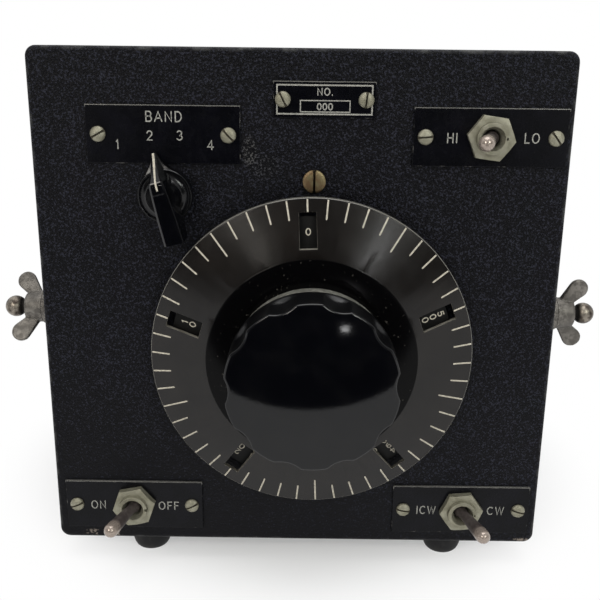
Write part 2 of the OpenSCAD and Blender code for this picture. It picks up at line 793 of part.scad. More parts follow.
module on_band(turn = 0) {
    on_panel() translate([band_x, 0, band_z]) rotate([0, turn, 0]) children();
}

module band_knob() {
    foot = 0.6;
    skirt_t = 4.4;
    face_l = 19;
    hollow = nut_t + 0.9;
    color([0.03, 0.03, 0.04]) on_band(band_rest) difference() {
        union() {
            hull() {
                rod_y(skirt_r, -label_t - skirt_t, -label_t - foot);
                translate([0, 0, pointer_tip - 0.7]) rod_y(0.7, -label_t - 1.8, -label_t - foot);
            }
            hull() {
                translate([-3.8, -label_t - skirt_t - 0.1, 6.2 - face_l]) cube([7.6, 0.3, face_l]);
                translate([-2.45, -pointer_h - label_t, 5.4 - face_l]) cube([4.9, 0.3, face_l / 2]);
                translate([-1.9, -pointer_h - label_t, 5.1]) cube([3.8, 0.3, 0.3]);
                translate([-0.8, -label_t - skirt_t, 10]) cube([1.6, 0.3, 0.6]);
            }
            translate([0, -label_t - skirt_t, 0]) rotate([90, 0, 0]) cylinder(r1 = 6.9, r2 = 4.2, h = 4.6);
        }
        rod_y(nut_flats * 0.6, -label_t - hollow, 1);
        rod_y(shaft_r + run_fit, -label_t - 8, 0);
    }
}

module band_shaft() {
    color([0.7, 0.7, 0.7]) on_band(band_rest) rod_y(shaft_r, -label_t - 7.5, band_back);
}

module band_bushing() {
    color([0.7, 0.58, 0.3]) on_band() difference() {
        union() {
            rod_y(bush_r, -nut_t - 0.5, sheet_t + 1);
            cut_out(sheet_t + flat_gap, band_plate_back) round_rect(34, 24, 3);
        }
        rod_y(shaft_r + run_fit, -20, 20);
        for (x = [-1, 1]) translate([x * band_rod_x, 0, 0]) rod_y(band_rod_r + flat_gap, -1, 10);
    }
}

module band_nut() {
    color([0.66, 0.63, 0.5]) on_band() hex_nut(nut_flats, nut_t - 0.4, bush_r + run_fit, -flat_gap);
}

module wafer_places() {
    for (i = [0 : wafers - 1]) translate([0, first_wafer + i * wafer_pitch, 0]) children();
}

module band_wafers() {
    color([0.5, 0.33, 0.18]) on_band() wafer_places() difference() {
        rod_y(wafer_r, 0, wafer_t);
        rod_y(wafer_rotor_r + 0.1, -1, 3);
        for (x = [-1, 1]) translate([x * band_rod_x, 0, 0]) rod_y(band_rod_r + flat_gap, -1, 3);
    }
}

module band_rotors() {
    color([0.6, 0.42, 0.25]) on_band(band_rest) wafer_places() difference() {
        rod_y(wafer_rotor_r, 0, wafer_t);
        rod_y(shaft_r + run_fit, -1, 3);
    }
}

module band_spacers() {
    last_back = first_wafer + wafer_pitch * (wafers - 1) + wafer_t;
    color([0.66, 0.66, 0.66]) on_band() for (x = [-1, 1]) translate([x * band_rod_x, 0, 0]) {
        rod_y(band_rod_r, sheet_t + 0.4, last_back + 2);
        rod_y(2.6, band_plate_back + flat_gap, first_wafer - flat_gap);
        for (i = [1 : wafers - 1])
            rod_y(2.6, first_wafer + (i - 1) * wafer_pitch + wafer_t + flat_gap,
                first_wafer + i * wafer_pitch - flat_gap);
        rod_y(2.4, last_back + flat_gap, last_back + 2);
    }
}

// Toggle switches

module toggle_places() {
    for (at = toggles_at) translate([at[0], 0, at[1]]) children();
}

module toggle_bodies() {
    front = toggle_back + flat_gap;
    color([0.1, 0.08, 0.07]) on_panel() toggle_places() difference() {
        cut_out(front, front + toggle_d) round_rect(toggle_w, toggle_h, 1);
        rod_y(bush_r - 0.6, front - 1, front + 6);
        box([12, 8, 7], [0, front + 1, 0]);
    }
}

module toggle_bushings() {
    color([0.66, 0.63, 0.5]) on_panel() toggle_places() difference() {
        rod_y(bush_r, -bush_front, toggle_back);
        rod_y(pivot_r + lever_slack, -lever_pivot - 1, 10);
        translate([0, -bush_front - 0.01, 0]) rotate([-90, 0, 0])
            cylinder(r1 = bush_mouth_r, r2 = pivot_r + lever_slack, h = bush_front - lever_pivot - 0.9);
        box([1, bush_front + 1, 0.9], [bush_r - 0.3, -bush_front - 1, 0]);
    }
}

module toggle_nuts() {
    color([0.66, 0.63, 0.5]) on_panel() for (i = [0 : 2])
        translate([toggles_at[i][0], 0, toggles_at[i][1]]) rotate([0, nut_turns[i], 0])
            hex_nut(nut_flats, nut_t, bush_r + run_fit, -label_t - flat_gap);
    color([0.66, 0.63, 0.5]) on_panel() translate([level_at[0], 0, level_at[1]])
        hex_nut(nut_flats, chassis_t, bush_r + run_fit, toggle_back - flat_gap);
}

module lever(at, turn) {
    color([0.35, 0.32, 0.31]) on_panel()
        translate([at[0], -lever_pivot, at[1]]) rotate([90, 0, turn]) {
            sphere(r = pivot_r);
            cylinder(r1 = lever_root_r, r2 = lever_tip_r, h = lever_l);
            translate([0, 0, lever_l]) sphere(r = lever_ball_r);
            translate([0, 0, -8]) cylinder(r = 0.9, h = 8);
        }
}

module level_lever() {
    lever(level_at, -lever_throw);
}

module mains_lever() {
    lever(mains_at, -lever_throw);
}

module mode_lever() {
    lever(mode_at, lever_throw);
}

// Side studs and wing nuts, drawn for the right side and mirrored for the left

module on_side(side) {
    on_panel() translate([0, stud_y, stud_z]) mirror([side < 0 ? 1 : 0, 0, 0]) children();
}

module side_studs() {
    color([0.5, 0.47, 0.4]) for (side = [-1, 1]) on_side(side) {
        rod_x(stud_r, inner_w / 2 - sheet_t - 2, ball_at + 1);
        rod_x(5, inner_w / 2 - sheet_t - 2.5, inner_w / 2 - sheet_t - flat_gap);
        intersection() {
            translate([ball_at + ball_l - ball_r, 0, 0]) sphere(r = ball_r);
            rod_x(ball_r, ball_at, ball_at + ball_l);
        }
    }
}

module washer() {
    color([0.5, 0.5, 0.48]) difference() {
        rod_x(washer_r, side_x + flat_gap, side_x + flat_gap + washer_t);
        rod_x(stud_r + washer_play, side_x - 1, side_x + 10);
    }
}

module left_washer() {
    on_side(-1) washer();
}

module right_washer() {
    on_side(1) washer();
}

module wing_nut(turn) {
    hub_end = hub_at + wing_hub_l;
    color([0.45, 0.43, 0.4]) rotate([turn, 0, 0]) difference() {
        union() {
            rotate([0, 90, 0]) rotate_extrude() polygon([
                [stud_r + run_fit, hub_at], [wing_hub_r, hub_at], [wing_hub_r - 0.6, hub_end - 0.6],
                [wing_hub_r - 1.2, hub_end], [stud_r + run_fit, hub_end]]);
            for (s = [-1, 1]) difference() {
                hull() {
                    translate([hub_at + 3.2, 0, s * 4.4]) rotate([90, 0, 0])
                        cylinder(r = 1.9, h = 2.2, center = true, $fn = 24);
                    translate([hub_at + wing_reach - wing_tip_r, 0, s * (wing_span - wing_tip_r)])
                        rotate([90, 0, 0]) cylinder(r = wing_tip_r, h = 1.6, center = true, $fn = 32);
                }
                rod_x(stud_r + 1, hub_at - 1, hub_at + 20);
            }
        }
        rod_x(stud_r + run_fit, hub_at - 1, hub_at + 20);
    }
}

module left_wing_nut() {
    on_side(-1) wing_nut(-35);
}

module right_wing_nut() {
    on_side(1) wing_nut(8);
}

// Chassis and what stands on it

module chassis() {
    color([0.6, 0.61, 0.6]) on_panel() difference() {
        union() {
            translate([-chassis_w / 2, apron_front, chassis_z - chassis_t])
                cube([chassis_w, apron_back - apron_front, chassis_t]);
            for (y = [apron_front, apron_back - chassis_t])
                translate([-chassis_w / 2, y, chassis_z - apron_h]) cube([chassis_w, chassis_t, apron_h]);
        }
        for (at = [mains_at, mode_at]) translate([at[0], 0, at[1]]) rod_y(bush_r + hole_gap, -1, 8);
        tube_places() translate([0, 0, chassis_z - 5]) cylinder(r = 11, h = 10);
        for (at = [ground_at, antenna_at])
            translate([at[0], 0, at[1]]) rod_y(insulator_r + hole_gap, case_d - 12, case_d + 2);
        translate([jack_at[0], 0, jack_at[1]]) rod_y(bush_r + hole_gap, case_d - 12, case_d + 2);
        box([26.4, 20, 16.4], [inlet_at[0], case_d - 12, inlet_at[1]]);
        plate_screw_places() rod_y(screw_r + 1, -1, 8);
    }
}

module tube_places() {
    for (i = [0 : tubes - 1]) translate([tube_x + i * tube_pitch, tube_y, 0]) children();
}

module tube_sockets() {
    color([0.25, 0.14, 0.08]) on_panel() tube_places() translate([0, 0, chassis_z + flat_gap]) difference() {
        cylinder(r = tube_base_r + 1.5, h = 6);
        translate([0, 0, 3.5]) cylinder(r = tube_base_r + 0.1, h = 6);
        for (a = [0 : 60 : 359]) rotate([0, 0, a])
            translate([pin_circle_r, 0, -1]) cylinder(r = pin_r + 0.1, h = 10, $fn = 16);
    }
}

module tube_bases() {
    color([0.05, 0.05, 0.05]) on_panel() tube_places() translate([0, 0, base_z]) difference() {
        union() {
            cylinder(r = tube_base_r, h = tube_base_h);
            for (a = [0 : 60 : 359]) rotate([0, 0, a])
                translate([pin_circle_r, 0, -7]) cylinder(r = pin_r, h = 8, $fn = 16);
        }
        translate([0, 0, 3]) cylinder(r = tube_base_r - 1.5, h = tube_base_h);
    }
}

module tube_glass() {
    neck = tube_base_r - 1.6;
    dome_r = glass_r * 0.55;
    outer = concat([[neck, 0], [neck, 8], [glass_r, 22], [glass_r, 34]],
        [for (p = arc(1, 0, 90, 6)) [glass_r * (0.75 + p[0] * 0.25), 34 + p[1] * 8]],
        [[dome_r, 46], [dome_r, glass_h - 5]],
        [for (p = arc(1, 15, 90, 5)) [dome_r * p[0], glass_h - 5 + 5 * p[1]]]);
    inner = [[0, glass_h - 1.2], [dome_r - 2.2, glass_h - 3], [dome_r - 1, glass_h - 7], [dome_r - 1, 45],
        [glass_r - 2.4, 40], [glass_r - 1, 34], [glass_r - 1, 22.5], [neck - 1, 8.5], [neck - 1, 1], [0, 1],
        [0, 0]];
    color([0.7, 0.75, 0.75, 0.4]) on_panel() tube_places() translate([0, 0, glass_z])
        rotate_extrude() polygon(concat(outer, inner));
}

module tube_electrodes() {
    color([0.3, 0.3, 0.32]) on_panel() tube_places() translate([0, 0, glass_z + 1.05]) {
        difference() {
            cylinder(r = 3, h = 12);
            translate([0, 0, 3]) cylinder(r = 1, h = 20);
        }
        difference() {
            translate([0, 0, 11.9]) cylinder(r = 7.5, h = 24);
            translate([0, 0, 13]) cylinder(r = 6.9, h = 30);
        }
        translate([0, 0, 11.9]) cylinder(r = 0.9, h = 26);
    }
}

module coil_places() {
    for (i = [0 : coils - 1]) translate([coil_x + i * coil_pitch, coil_y, chassis_z + flat_gap]) children();
}

module coil_formers() {
    color([0.45, 0.25, 0.12]) on_panel() coil_places() difference() {
        union() {
            cylinder(r = former_r, h = former_h);
            cylinder(r = former_r + 2, h = 4);
        }
        translate([0, 0, 2]) cylinder(r = former_r - 1.5, h = 60);
    }
}

module coil_windings() {
    color([0.7, 0.4, 0.2]) on_panel() for (i = [0 : coils - 1])
        translate([coil_x + i * coil_pitch, coil_y, chassis_z + 10]) difference() {
            cylinder(r = former_r + 1, h = winding_h - 5 * i);
            translate([0, 0, -1]) cylinder(r = former_r + flat_gap, h = 40);
        }
}

module mains_transformer() {
    color([0.2, 0.2, 0.22]) on_panel() translate([trafo_x, trafo_y, chassis_z + flat_gap]) difference() {
        box([trafo_w, trafo_d, trafo_h], [0, -trafo_d / 2, trafo_h / 2]);
        for (x = [-1, 1])
            box([trafo_w / 6, trafo_d + 2, trafo_h - trafo_w / 3],
                [x * trafo_w / 4, -trafo_d / 2 - 1, trafo_h / 2]);
    }
}

module transformer_winding() {
    leg = trafo_w / 3;
    out = 2 * leg - 0.3;
    color([0.55, 0.42, 0.25]) on_panel()
        translate([trafo_x, trafo_y, chassis_z + flat_gap + trafo_h / 2]) difference() {
            box([out, trafo_d + leg, trafo_h - leg - 0.3], [0, -(trafo_d + leg) / 2, 0]);
            box([leg + 2 * flat_gap, trafo_d + 2 * flat_gap, trafo_h], [0, -trafo_d / 2 - flat_gap, 0]);
        }
}

module audio_chokes() {
    color([0.22, 0.22, 0.24]) on_panel() for (x = [-20, 18])
        translate([x, choke_y, chassis_z - chassis_t - flat_gap]) {
            box([choke_w, choke_d, choke_w], [0, 0, -choke_w / 2]);
            box([choke_w + 10, choke_d, 1.5], [0, 0, -0.75]);
        }
}

module filter_condensers() {
    color([0.75, 0.66, 0.45]) on_panel() for (i = [0, 1])
        translate([-50, filter_y + i * filter_pitch, chassis_z - chassis_t - filter_r - flat_gap])
            rod_x(filter_r, 0, filter_l);
}

module terminal_strip() {
    color([0.5, 0.33, 0.18]) on_panel() translate([8, 82, chassis_z - chassis_t - flat_gap]) {
        translate([0, 0, -12]) cube([44, 1.6, 12]);
        for (i = [0 : 4]) translate([5 + i * 8, 1.2, -6]) rod_y(2.4, 0, 14);
    }
}

// Rear terminals

module rear_terminals() {
    out = case_d + terminal_base;
    color([0.8, 0.78, 0.7]) on_panel() {
        for (at = [ground_at, antenna_at]) translate([at[0], 0, at[1]]) {
            difference() {
                union() {
                    rod_y(insulator_r, case_d - 9, case_d + 1);
                    rod_y(7, apron_back + flat_gap, case_d + 4);
                    rod_y(7, case_d - 9, apron_back - chassis_t - flat_gap);
                }
                rod_y(terminal_r + flat_gap, 0, case_d + 10);
            }
            rod_y(terminal_r, case_d - 14, out + terminal_l);
            cut_out(case_d + 4.05, out) circle(d = 8, $fn = 6);
            cut_out(case_d - 11, case_d - 9.05) circle(d = 8, $fn = 6);
        }
        translate([jack_at[0], 0, jack_at[1]]) difference() {
            union() {
                rod_y(bush_r, case_d - 12, case_d + 3);
                cut_out(apron_back + flat_gap, case_d + 1.2) circle(d = nut_flats / cos(30), $fn = 6);
                box([12, 14, 14], [0, case_d - 20, 0]);
            }
            rod_y(jack_r, case_d + 3 - jack_l, case_d + 5);
        }
    }
}

module mains_inlet() {
    color([0.06, 0.05, 0.05]) on_panel() translate([inlet_at[0], 0, inlet_at[1]]) {
        difference() {
            union() {
                cut_out(case_d - 20, apron_back) round_rect(26, 16, 2);
                cut_out(apron_back + flat_gap, case_d + 1) round_rect(32, 21, 3);
                cut_out(apron_back - 1, case_d) round_rect(26, 16, 2);
            }
            cut_out(case_d - 17, case_d + 5) round_rect(22, 12, 2);
        }
        for (x = [-1, 1]) translate([x * 6, 0, 0]) rod_y(2, case_d - 18, case_d - 5);
    }
}

front_panel();
case_shell();
rubber_feet();
foot_screws();
serial_plate();
band_plate();
level_plate();
mains_plate();
mode_plate();
plate_screws();
index_screw();
dial_shell();
hub_gear();
number_disc();
disc_seat();
tuning_knob();
knob_set_screws();
dial_shaft();
worm();
panel_bushing();
gear_housing();
housing_cover();
worm_wheel();
rotor_shaft();
rotor_plates();
stator_plates();
stator_bars();
condenser_frame();
band_knob();
band_shaft();
band_bushing();
band_nut();
band_wafers();
band_rotors();
band_spacers();
toggle_bodies();
toggle_bushings();
toggle_nuts();
level_lever();
mains_lever();
mode_lever();
side_studs();
left_washer();
right_washer();
left_wing_nut();
right_wing_nut();
chassis();
tube_sockets();
tube_bases();
tube_glass();
tube_electrodes();
coil_formers();
coil_windings();
mains_transformer();
transformer_winding();
audio_chokes();
filter_condensers();
terminal_strip();
rear_terminals();
mains_inlet();
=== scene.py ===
import json
import math
from contextlib import contextmanager

import bmesh
import bpy
from mathutils import Matrix, Vector

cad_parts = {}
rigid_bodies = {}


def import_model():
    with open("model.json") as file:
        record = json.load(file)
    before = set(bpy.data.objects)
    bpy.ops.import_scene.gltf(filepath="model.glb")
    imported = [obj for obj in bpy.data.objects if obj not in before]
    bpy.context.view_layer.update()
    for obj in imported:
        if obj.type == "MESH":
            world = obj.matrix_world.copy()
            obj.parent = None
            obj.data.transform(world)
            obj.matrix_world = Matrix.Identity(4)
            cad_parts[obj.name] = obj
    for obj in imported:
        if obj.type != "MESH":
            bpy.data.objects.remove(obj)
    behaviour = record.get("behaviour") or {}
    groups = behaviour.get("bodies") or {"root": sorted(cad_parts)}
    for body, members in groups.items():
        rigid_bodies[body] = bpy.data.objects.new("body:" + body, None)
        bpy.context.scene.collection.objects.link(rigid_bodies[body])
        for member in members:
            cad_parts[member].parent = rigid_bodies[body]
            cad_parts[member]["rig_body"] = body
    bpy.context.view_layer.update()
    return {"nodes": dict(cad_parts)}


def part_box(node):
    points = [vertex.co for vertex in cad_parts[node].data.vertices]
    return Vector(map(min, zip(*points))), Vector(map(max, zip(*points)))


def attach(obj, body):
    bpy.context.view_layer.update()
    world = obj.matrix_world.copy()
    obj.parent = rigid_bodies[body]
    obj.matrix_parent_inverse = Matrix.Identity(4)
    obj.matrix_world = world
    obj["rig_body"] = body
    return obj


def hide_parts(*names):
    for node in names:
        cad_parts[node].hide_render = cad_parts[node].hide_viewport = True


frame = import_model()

nodes = frame["nodes"]
MM = 0.001
panel_low, panel_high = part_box("front_panel")
FRONT = panel_low.y
MIDDLE = (panel_low.z + panel_high.z) / 2
PANEL_W = panel_high.x - panel_low.x
PANEL_H = panel_high.z - panel_low.z


def on_panel(x, y, z):
    """A point given in millimetres to the right, behind the panel's face and above its middle."""
    return Vector((x * MM, FRONT + y * MM, MIDDLE + z * MM))


# Camera
# It stands in front of the set and looks down at it, as in the photograph.
# Its focal length is 852 pixels of a picture 600 pixels wide.
yaw, pitch, roll = 0.00345, 0.28903, 0.01188
lens = bpy.data.cameras.new("camera")
lens.sensor_width = 36
lens.lens = 852 / 600 * lens.sensor_width
lens.clip_start = 0.01
lens.clip_end = 20
camera = bpy.data.objects.new("camera", lens)
bpy.context.scene.collection.objects.link(camera)
look = (Matrix.Rotation(roll, 3, "Z") @ Matrix.Rotation(pitch, 3, "X") @ Matrix.Rotation(yaw, 3, "Y")
        @ Matrix(((1, 0, 0), (0, 0, -1), (0, 1, 0))))
right, down, forward = look
to_right, ahead_of_set, above_middle = 0.001114, 0.258664, 0.08185
camera.matrix_world = Matrix((
    (right.x, -down.x, -forward.x, to_right),
    (right.y, -down.y, -forward.y, FRONT - ahead_of_set),
    (right.z, -down.z, -forward.z, MIDDLE + above_middle),
    (0, 0, 0, 1)))
bpy.context.scene.camera = camera
bpy.context.scene.view_settings.view_transform = "Standard"


# Floor and light
# A plain pale floor that turns white with distance, in a room that reflections show as dark on the camera's side.
# One wide soft lamp hangs above, one stands on each side, and three small ones only make glints.
class Value:
    """A socket that can stand in a sum."""

    def __init__(self, tree, socket):
        self.tree = tree
        self.socket = socket

    def math(self, operation, *others):
        return self.tree.make("ShaderNodeMath", {"operation": operation}, dict(enumerate((self, *others))))

    def __add__(self, other):
        return self.math("ADD", other)

    def __sub__(self, other):
        return self.math("SUBTRACT", other)

    def __mul__(self, other):
        return self.math("MULTIPLY", other)

    def __truediv__(self, other):
        return self.math("DIVIDE", other)

    def __rsub__(self, other):
        return (self * -1.0).math("ADD", other)

    __radd__ = __add__
    __rmul__ = __mul__

    def size(self):
        return self.math("ABSOLUTE")

    def least(self, other):
        return self.math("MINIMUM", other)

    def most(self, other):
        return self.math("MAXIMUM", other)

    def step(self, low, high):
        """0 below low, 1 above high and smooth between, or the other way round when low is above high."""
        flip = low > high
        low, high = min(low, high), max(low, high)
        rise = self.tree.make("ShaderNodeMapRange", {"interpolation_type": "SMOOTHSTEP"},
                              {"Value": self, "From Min": low, "From Max": high})
        return 1 - rise if flip else rise


class Tree:
    """A node tree that grows by one node a call."""

    def __init__(self, nodes):
        self.nodes = nodes

    def make(self, kind, settings=None, inputs=None, out=0):
        """Adds a node: its settings first, then the values or links of its sockets."""
        node = self.nodes.nodes.new(kind)
        for key, value in (settings or {}).items():
            setattr(node, key, value)
        for key, value in (inputs or {}).items():
            self.join(node.inputs[key], value)
        return Value(self, node.outputs[out])

    def join(self, socket, value):
        if isinstance(value, Value):
            self.nodes.links.new(value.socket, socket)
        elif socket.type == "RGBA" and len(value) == 3:
            socket.default_value = (*value, 1)
        else:
            socket.default_value = value

    def along(self, axis, at):
        return self.make("ShaderNodeSeparateXYZ", {}, {0: at}, out=axis)

    def combined(self, **parts):
        return self.make("ShaderNodeCombineXYZ", {}, parts)

    def ray(self, kind):
        return self.make("ShaderNodeLightPath", out=f"Is {kind} Ray")


class Finish(Tree):
    """A material on one Principled shader. Its constants go on the shader's own sockets."""

    def __init__(self, name, **constants):
        self.material = bpy.data.materials.new(name)
        self.material.use_nodes = True
        super().__init__(self.material.node_tree)
        self.surface = self.nodes.nodes["Principled BSDF"]
        self.feed(**constants)

    def feed(self, **sockets):
        """Sets sockets of the shader by name, such as base_color=..., with spaces written as underscores."""
        for key, value in sockets.items():
            name = key.replace("_", " ").title().replace("Ior", "IOR")
            self.join(self.surface.inputs[name], value)

    def place(self):
        return self.make("ShaderNodeTexCoord", out="Object")

    def vector(self, operation, *values, out="Vector"):
        return self.make("ShaderNodeVectorMath", {"operation": operation}, dict(enumerate(values)), out)

    def mark(self, name):
        """The value that a piece's mesh holds at each point under this name."""
        return self.make("ShaderNodeAttribute", {"attribute_name": name}, out="Fac")

    def noise(self, scale, detail, at=None):
        return self.make("ShaderNodeTexNoise", {}, {"Vector": at or self.place(), "Scale": scale, "Detail": detail})

    def mix(self, mask, plain, masked):
        """A colour: plain where the mask is 0, masked where it is 1."""
        return self.make("ShaderNodeMix", {"data_type": "RGBA"}, {0: mask, 6: plain, 7: masked}, out=2)

    def tones(self, scale, detail, low, high, plain, masked, at=None):
        """Two colours in the patches of a noise, with a soft change from low to high."""
        return self.mix(self.noise(scale, detail, at).step(low, high), plain, masked)

    def bump(self, height, depth):
        """Raises the surface by up to depth metres where height is 1."""
        self.feed(normal=self.make("ShaderNodeBump", {}, {
            "Height": height, "Distance": depth, "Strength": 1.0}))


def new_piece(name, points, faces, finish):
    """A mesh object from points in metres, in the row frame."""
    mesh = bpy.data.meshes.new(name)
    mesh.from_pydata([tuple(p) for p in points], [], faces)
    mesh.validate()
    mesh.update()
    return shown(name, mesh, finish)


def shown(name, mesh, finish):
    """A mesh as an object in the scene, in one finish."""
    piece = bpy.data.objects.new(name, mesh)
    bpy.context.scene.collection.objects.link(piece)
    mesh.materials.clear()
    mesh.materials.append(finish.material)
    return piece


floor_paint = Finish("floor_white", base_color=(0.88, 0.88, 0.88), roughness=0.8, specular_ior_level=0.2)
ground = floor_paint.place()
white, dark = (floor_paint.make("ShaderNodeEmission", {}, {"Color": colour, "Strength": 1.0})
               for colour in ((1, 1, 1), (0.02, 0.02, 0.025)))
apart = floor_paint.vector("DISTANCE", ground, (0, 0.02, 0), out="Value")
seen, seen_in, seen_through = map(floor_paint.ray, ("Camera", "Glossy", "Transmission"))
far = (apart.step(0.074, 0.132) * 0.68 + 0.32) * (seen + seen_in + seen_through).least(1.0)
whitened = floor_paint.make("ShaderNodeMixShader", {}, {
    0: far, 1: Value(floor_paint, floor_paint.surface.outputs[0]), 2: white})
# In reflections the pale table ends in a curve 0.245 m in front of the set, with a dark room beyond it.
aside = floor_paint.along("X", ground)
ahead = floor_paint.along("Y", ground) + aside * aside * 6.0
past_table = ahead.step(-0.242, -0.249)
table = floor_paint.make("ShaderNodeMixShader", {}, {0: past_table * seen_in, 1: whitened, 2: dark})
floor_paint.join(floor_paint.nodes.nodes["Material Output"].inputs["Surface"], table)
reach = 6
floor = new_piece("floor", [(x * reach, y * reach, 0) for x, y in ((-1, -1), (1, -1), (1, 1), (-1, 1))],
                  [(0, 1, 2, 3)], floor_paint)

world = bpy.data.worlds.new("room")
world.use_nodes = True
bpy.context.scene.world = world
room = Tree(world.node_tree)
way = room.make("ShaderNodeTexCoord", out="Generated")
behind = room.along("Y", way).step(-0.35, 0.15)
overhead = room.along("Z", way).step(0.2, 0.75)
straight, mirrored, through = map(room.ray, ("Camera", "Glossy", "Transmission"))
brightness = (behind.most(overhead * 0.55 + 0.03) * mirrored + (straight + through).least(1.0)
              + (1 - (mirrored + straight + through).least(1.0)) * 0.62)
backdrop = world.node_tree.nodes["Background"].inputs
room.join(backdrop["Strength"], brightness)
room.join(backdrop["Color"], (1, 1, 1))

middle, warm, green = Vector((0, 0, 0.09)), (1, 0.95, 0.88), (0.97, 1, 0.94)
for name, at, width, height, power, colour in (
        ("lamp_above", (0.05, -0.1, 1.3), 1.0, 0.8, 9, (1, 1, 1)),
        ("lamp_left", (-0.5, -0.87, 0.6), 0.3, 0.3, 2.8, warm),
        ("lamp_right", (0.5, -0.87, 0.6), 0.3, 0.3, 2.8, green),
        ("glint_left", (-0.28, -1.01, 0.35), 0.03, 0.03, 0.12, warm),
        ("glint_right", (0.345, -1.0, 0.33), 0.05, 0.05, 0.25, (1, 1, 1)),
        ("glint_low", (0.076, -0.6, 0.012), 0.016, 0.012, 0.006, (1, 1, 1))):
    light = bpy.data.lights.new(name, "AREA")
    light.shape = "RECTANGLE"
    light.size = width
    light.size_y = height
    light.energy = power
    light.color = colour
    lamp = bpy.data.objects.new(name, light)
    bpy.context.scene.collection.objects.link(lamp)
    lamp.location = at
    lamp.rotation_mode = "QUATERNION"
    lamp.rotation_quaternion = (middle - Vector(at)).to_track_quat("-Z", "Y")


# Front panel and case
# Two folded steel trays in black wrinkle enamel: the panel's flange fits over the case's open front.
# The enamel has worn a little lighter along the panel's edges and beside the band plate.
@contextmanager
def reshaped(mesh):
    """A mesh as a shape to change, which is written back to it afterwards."""
    shape = bmesh.new()
    shape.from_mesh(mesh)
    yield shape
    shape.to_mesh(mesh)
    shape.free()


def rounded(piece, width, angle):
    """Rounds a piece's sharp edges, by a width in millimetres."""
    rounding = piece.modifiers.new("rounding", "BEVEL")
    rounding.width = width * MM
    rounding.segments = 2
    rounding.limit_method = "ANGLE"
    rounding.angle_limit = math.radians(angle)


def dressed(node, finish, angle=38, bevel=0):
    """A CAD node's own shape with its faces joined and its round faces smooth, standing for the node."""
    source = nodes[node]
    mesh = source.data.copy()
    with reshaped(mesh) as shape:
        bmesh.ops.remove_doubles(shape, verts=shape.verts, dist=1e-6)
        bmesh.ops.dissolve_limit(shape, angle_limit=math.radians(0.2), verts=shape.verts, edges=shape.edges)
        for edge in shape.edges:
            edge.smooth = not (edge.is_manifold and edge.calc_face_angle(0) > math.radians(angle))
        for face in shape.faces:
            face.smooth = True
    if "custom_normal" in mesh.attributes:
        mesh.attributes.remove(mesh.attributes["custom_normal"])
    piece = shown(node + "_dressed", mesh, finish)
    if bevel:
        rounded(piece, bevel, angle)
    even = piece.modifiers.new("even", "WEIGHTED_NORMAL")
    even.keep_sharp = True
    even.weight = 100
    made_plain(piece)
    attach(piece, source["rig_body"])
    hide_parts(node)
    return piece


def made_plain(piece):
    """Applies a piece's modifiers, so that its mesh is what shows."""
    result = bpy.data.meshes.new_from_object(piece.evaluated_get(bpy.context.evaluated_depsgraph_get()))
    piece.modifiers.clear()
    piece.data = result
    return piece


wrinkle = Finish("black_wrinkle_enamel", specular_ior_level=0.15)
spot = wrinkle.place()
folds = wrinkle.make("ShaderNodeTexVoronoi", {"feature": "SMOOTH_F1"}, {
    "Vector": spot, "Scale": 1700.0, "Smoothness": 0.5, "Detail": 1.0})
grain = wrinkle.noise(1900.0, 3.0, spot)
ridges = folds * 0.7 + grain * 0.6


def oval(x, z, wide, high):
    """1 in the middle of an oval patch of the panel, 0 outside it."""
    away = wrinkle.vector("SUBTRACT", spot, on_panel(x, 0, z))
    away = wrinkle.vector("MULTIPLY", away, (1 / (wide * MM), 1 / (6 * MM), 1 / (high * MM)))
    return wrinkle.vector("LENGTH", away, out="Value").step(1.0, 0.35)


right_way, back_way = wrinkle.along("X", spot), wrinkle.along("Y", spot)
up_way = wrinkle.along("Z", spot) - MIDDLE
to_edge = (PANEL_W / 2 - right_way.size()).least(PANEL_H / 2 - up_way.size())
rim = to_edge.step(1.5 * MM, 0.2 * MM) * back_way.step(FRONT + 2.5 * MM, FRONT + 1 * MM)
worn = rim * wrinkle.noise(260.0, 4.0, spot).step(0.46, 0.7)
scuff = (oval(-15.6, 51.5, 3, 6) * 0.55 + oval(-11, 47, 6, 5) * 0.2).least(1.0) * grain.step(0.5, 0.62)
chips = ((oval(-69.5, -79.4, 4.5, 1.5) + oval(-62, -80, 2.5, 1.1) + oval(77.5, -80.4, 4, 1)).least(1.0)
         * wrinkle.noise(900.0, 3.0, spot).step(0.5, 0.58))
# The light specks are painted highlights on the wrinkle's ridges, and smooth thins them out towards the lower left.
smooth = (up_way * -9.0 + right_way * -3.0 - 0.35).least(1.0).most(0.0)
speck_highlight = (grain - 0.2 * smooth).step(0.52, 0.64)
paint = wrinkle.mix(speck_highlight, (0.0006, 0.0006, 0.0018), (0.0135, 0.0145, 0.023))
paint = wrinkle.mix(worn * 0.8, paint, (0.055, 0.056, 0.055))
paint = wrinkle.mix(scuff, paint, (0.08, 0.078, 0.072))
wrinkle.feed(base_color=wrinkle.mix(chips, paint, (0.16, 0.135, 0.115)), roughness=grain * 0.3 + 0.34)
wrinkle.bump(ridges, 0.15 * MM)
dressed("front_panel", wrinkle)
dressed("case_shell", wrinkle)


# Feet
# Four black rubber domes, each on a steel screw through the case's floor.
def mottled(name, tone, colours, rough, dents, **constants):
    """A finish with two colours in patches and an uneven surface.

    tone is (noise scale, detail, low, high), rough is (noise scale, detail, share, least), or a plain number,
    and dents is (noise scale, detail, depth in millimetres).
    """
    finish = Finish(name, **constants)
    finish.feed(base_color=finish.tones(*tone, *colours),
                roughness=rough if isinstance(rough, float) else finish.noise(*rough[:2]) * rough[2] + rough[3])
    finish.bump(finish.noise(*dents[:2]), dents[2] * MM)
    return finish


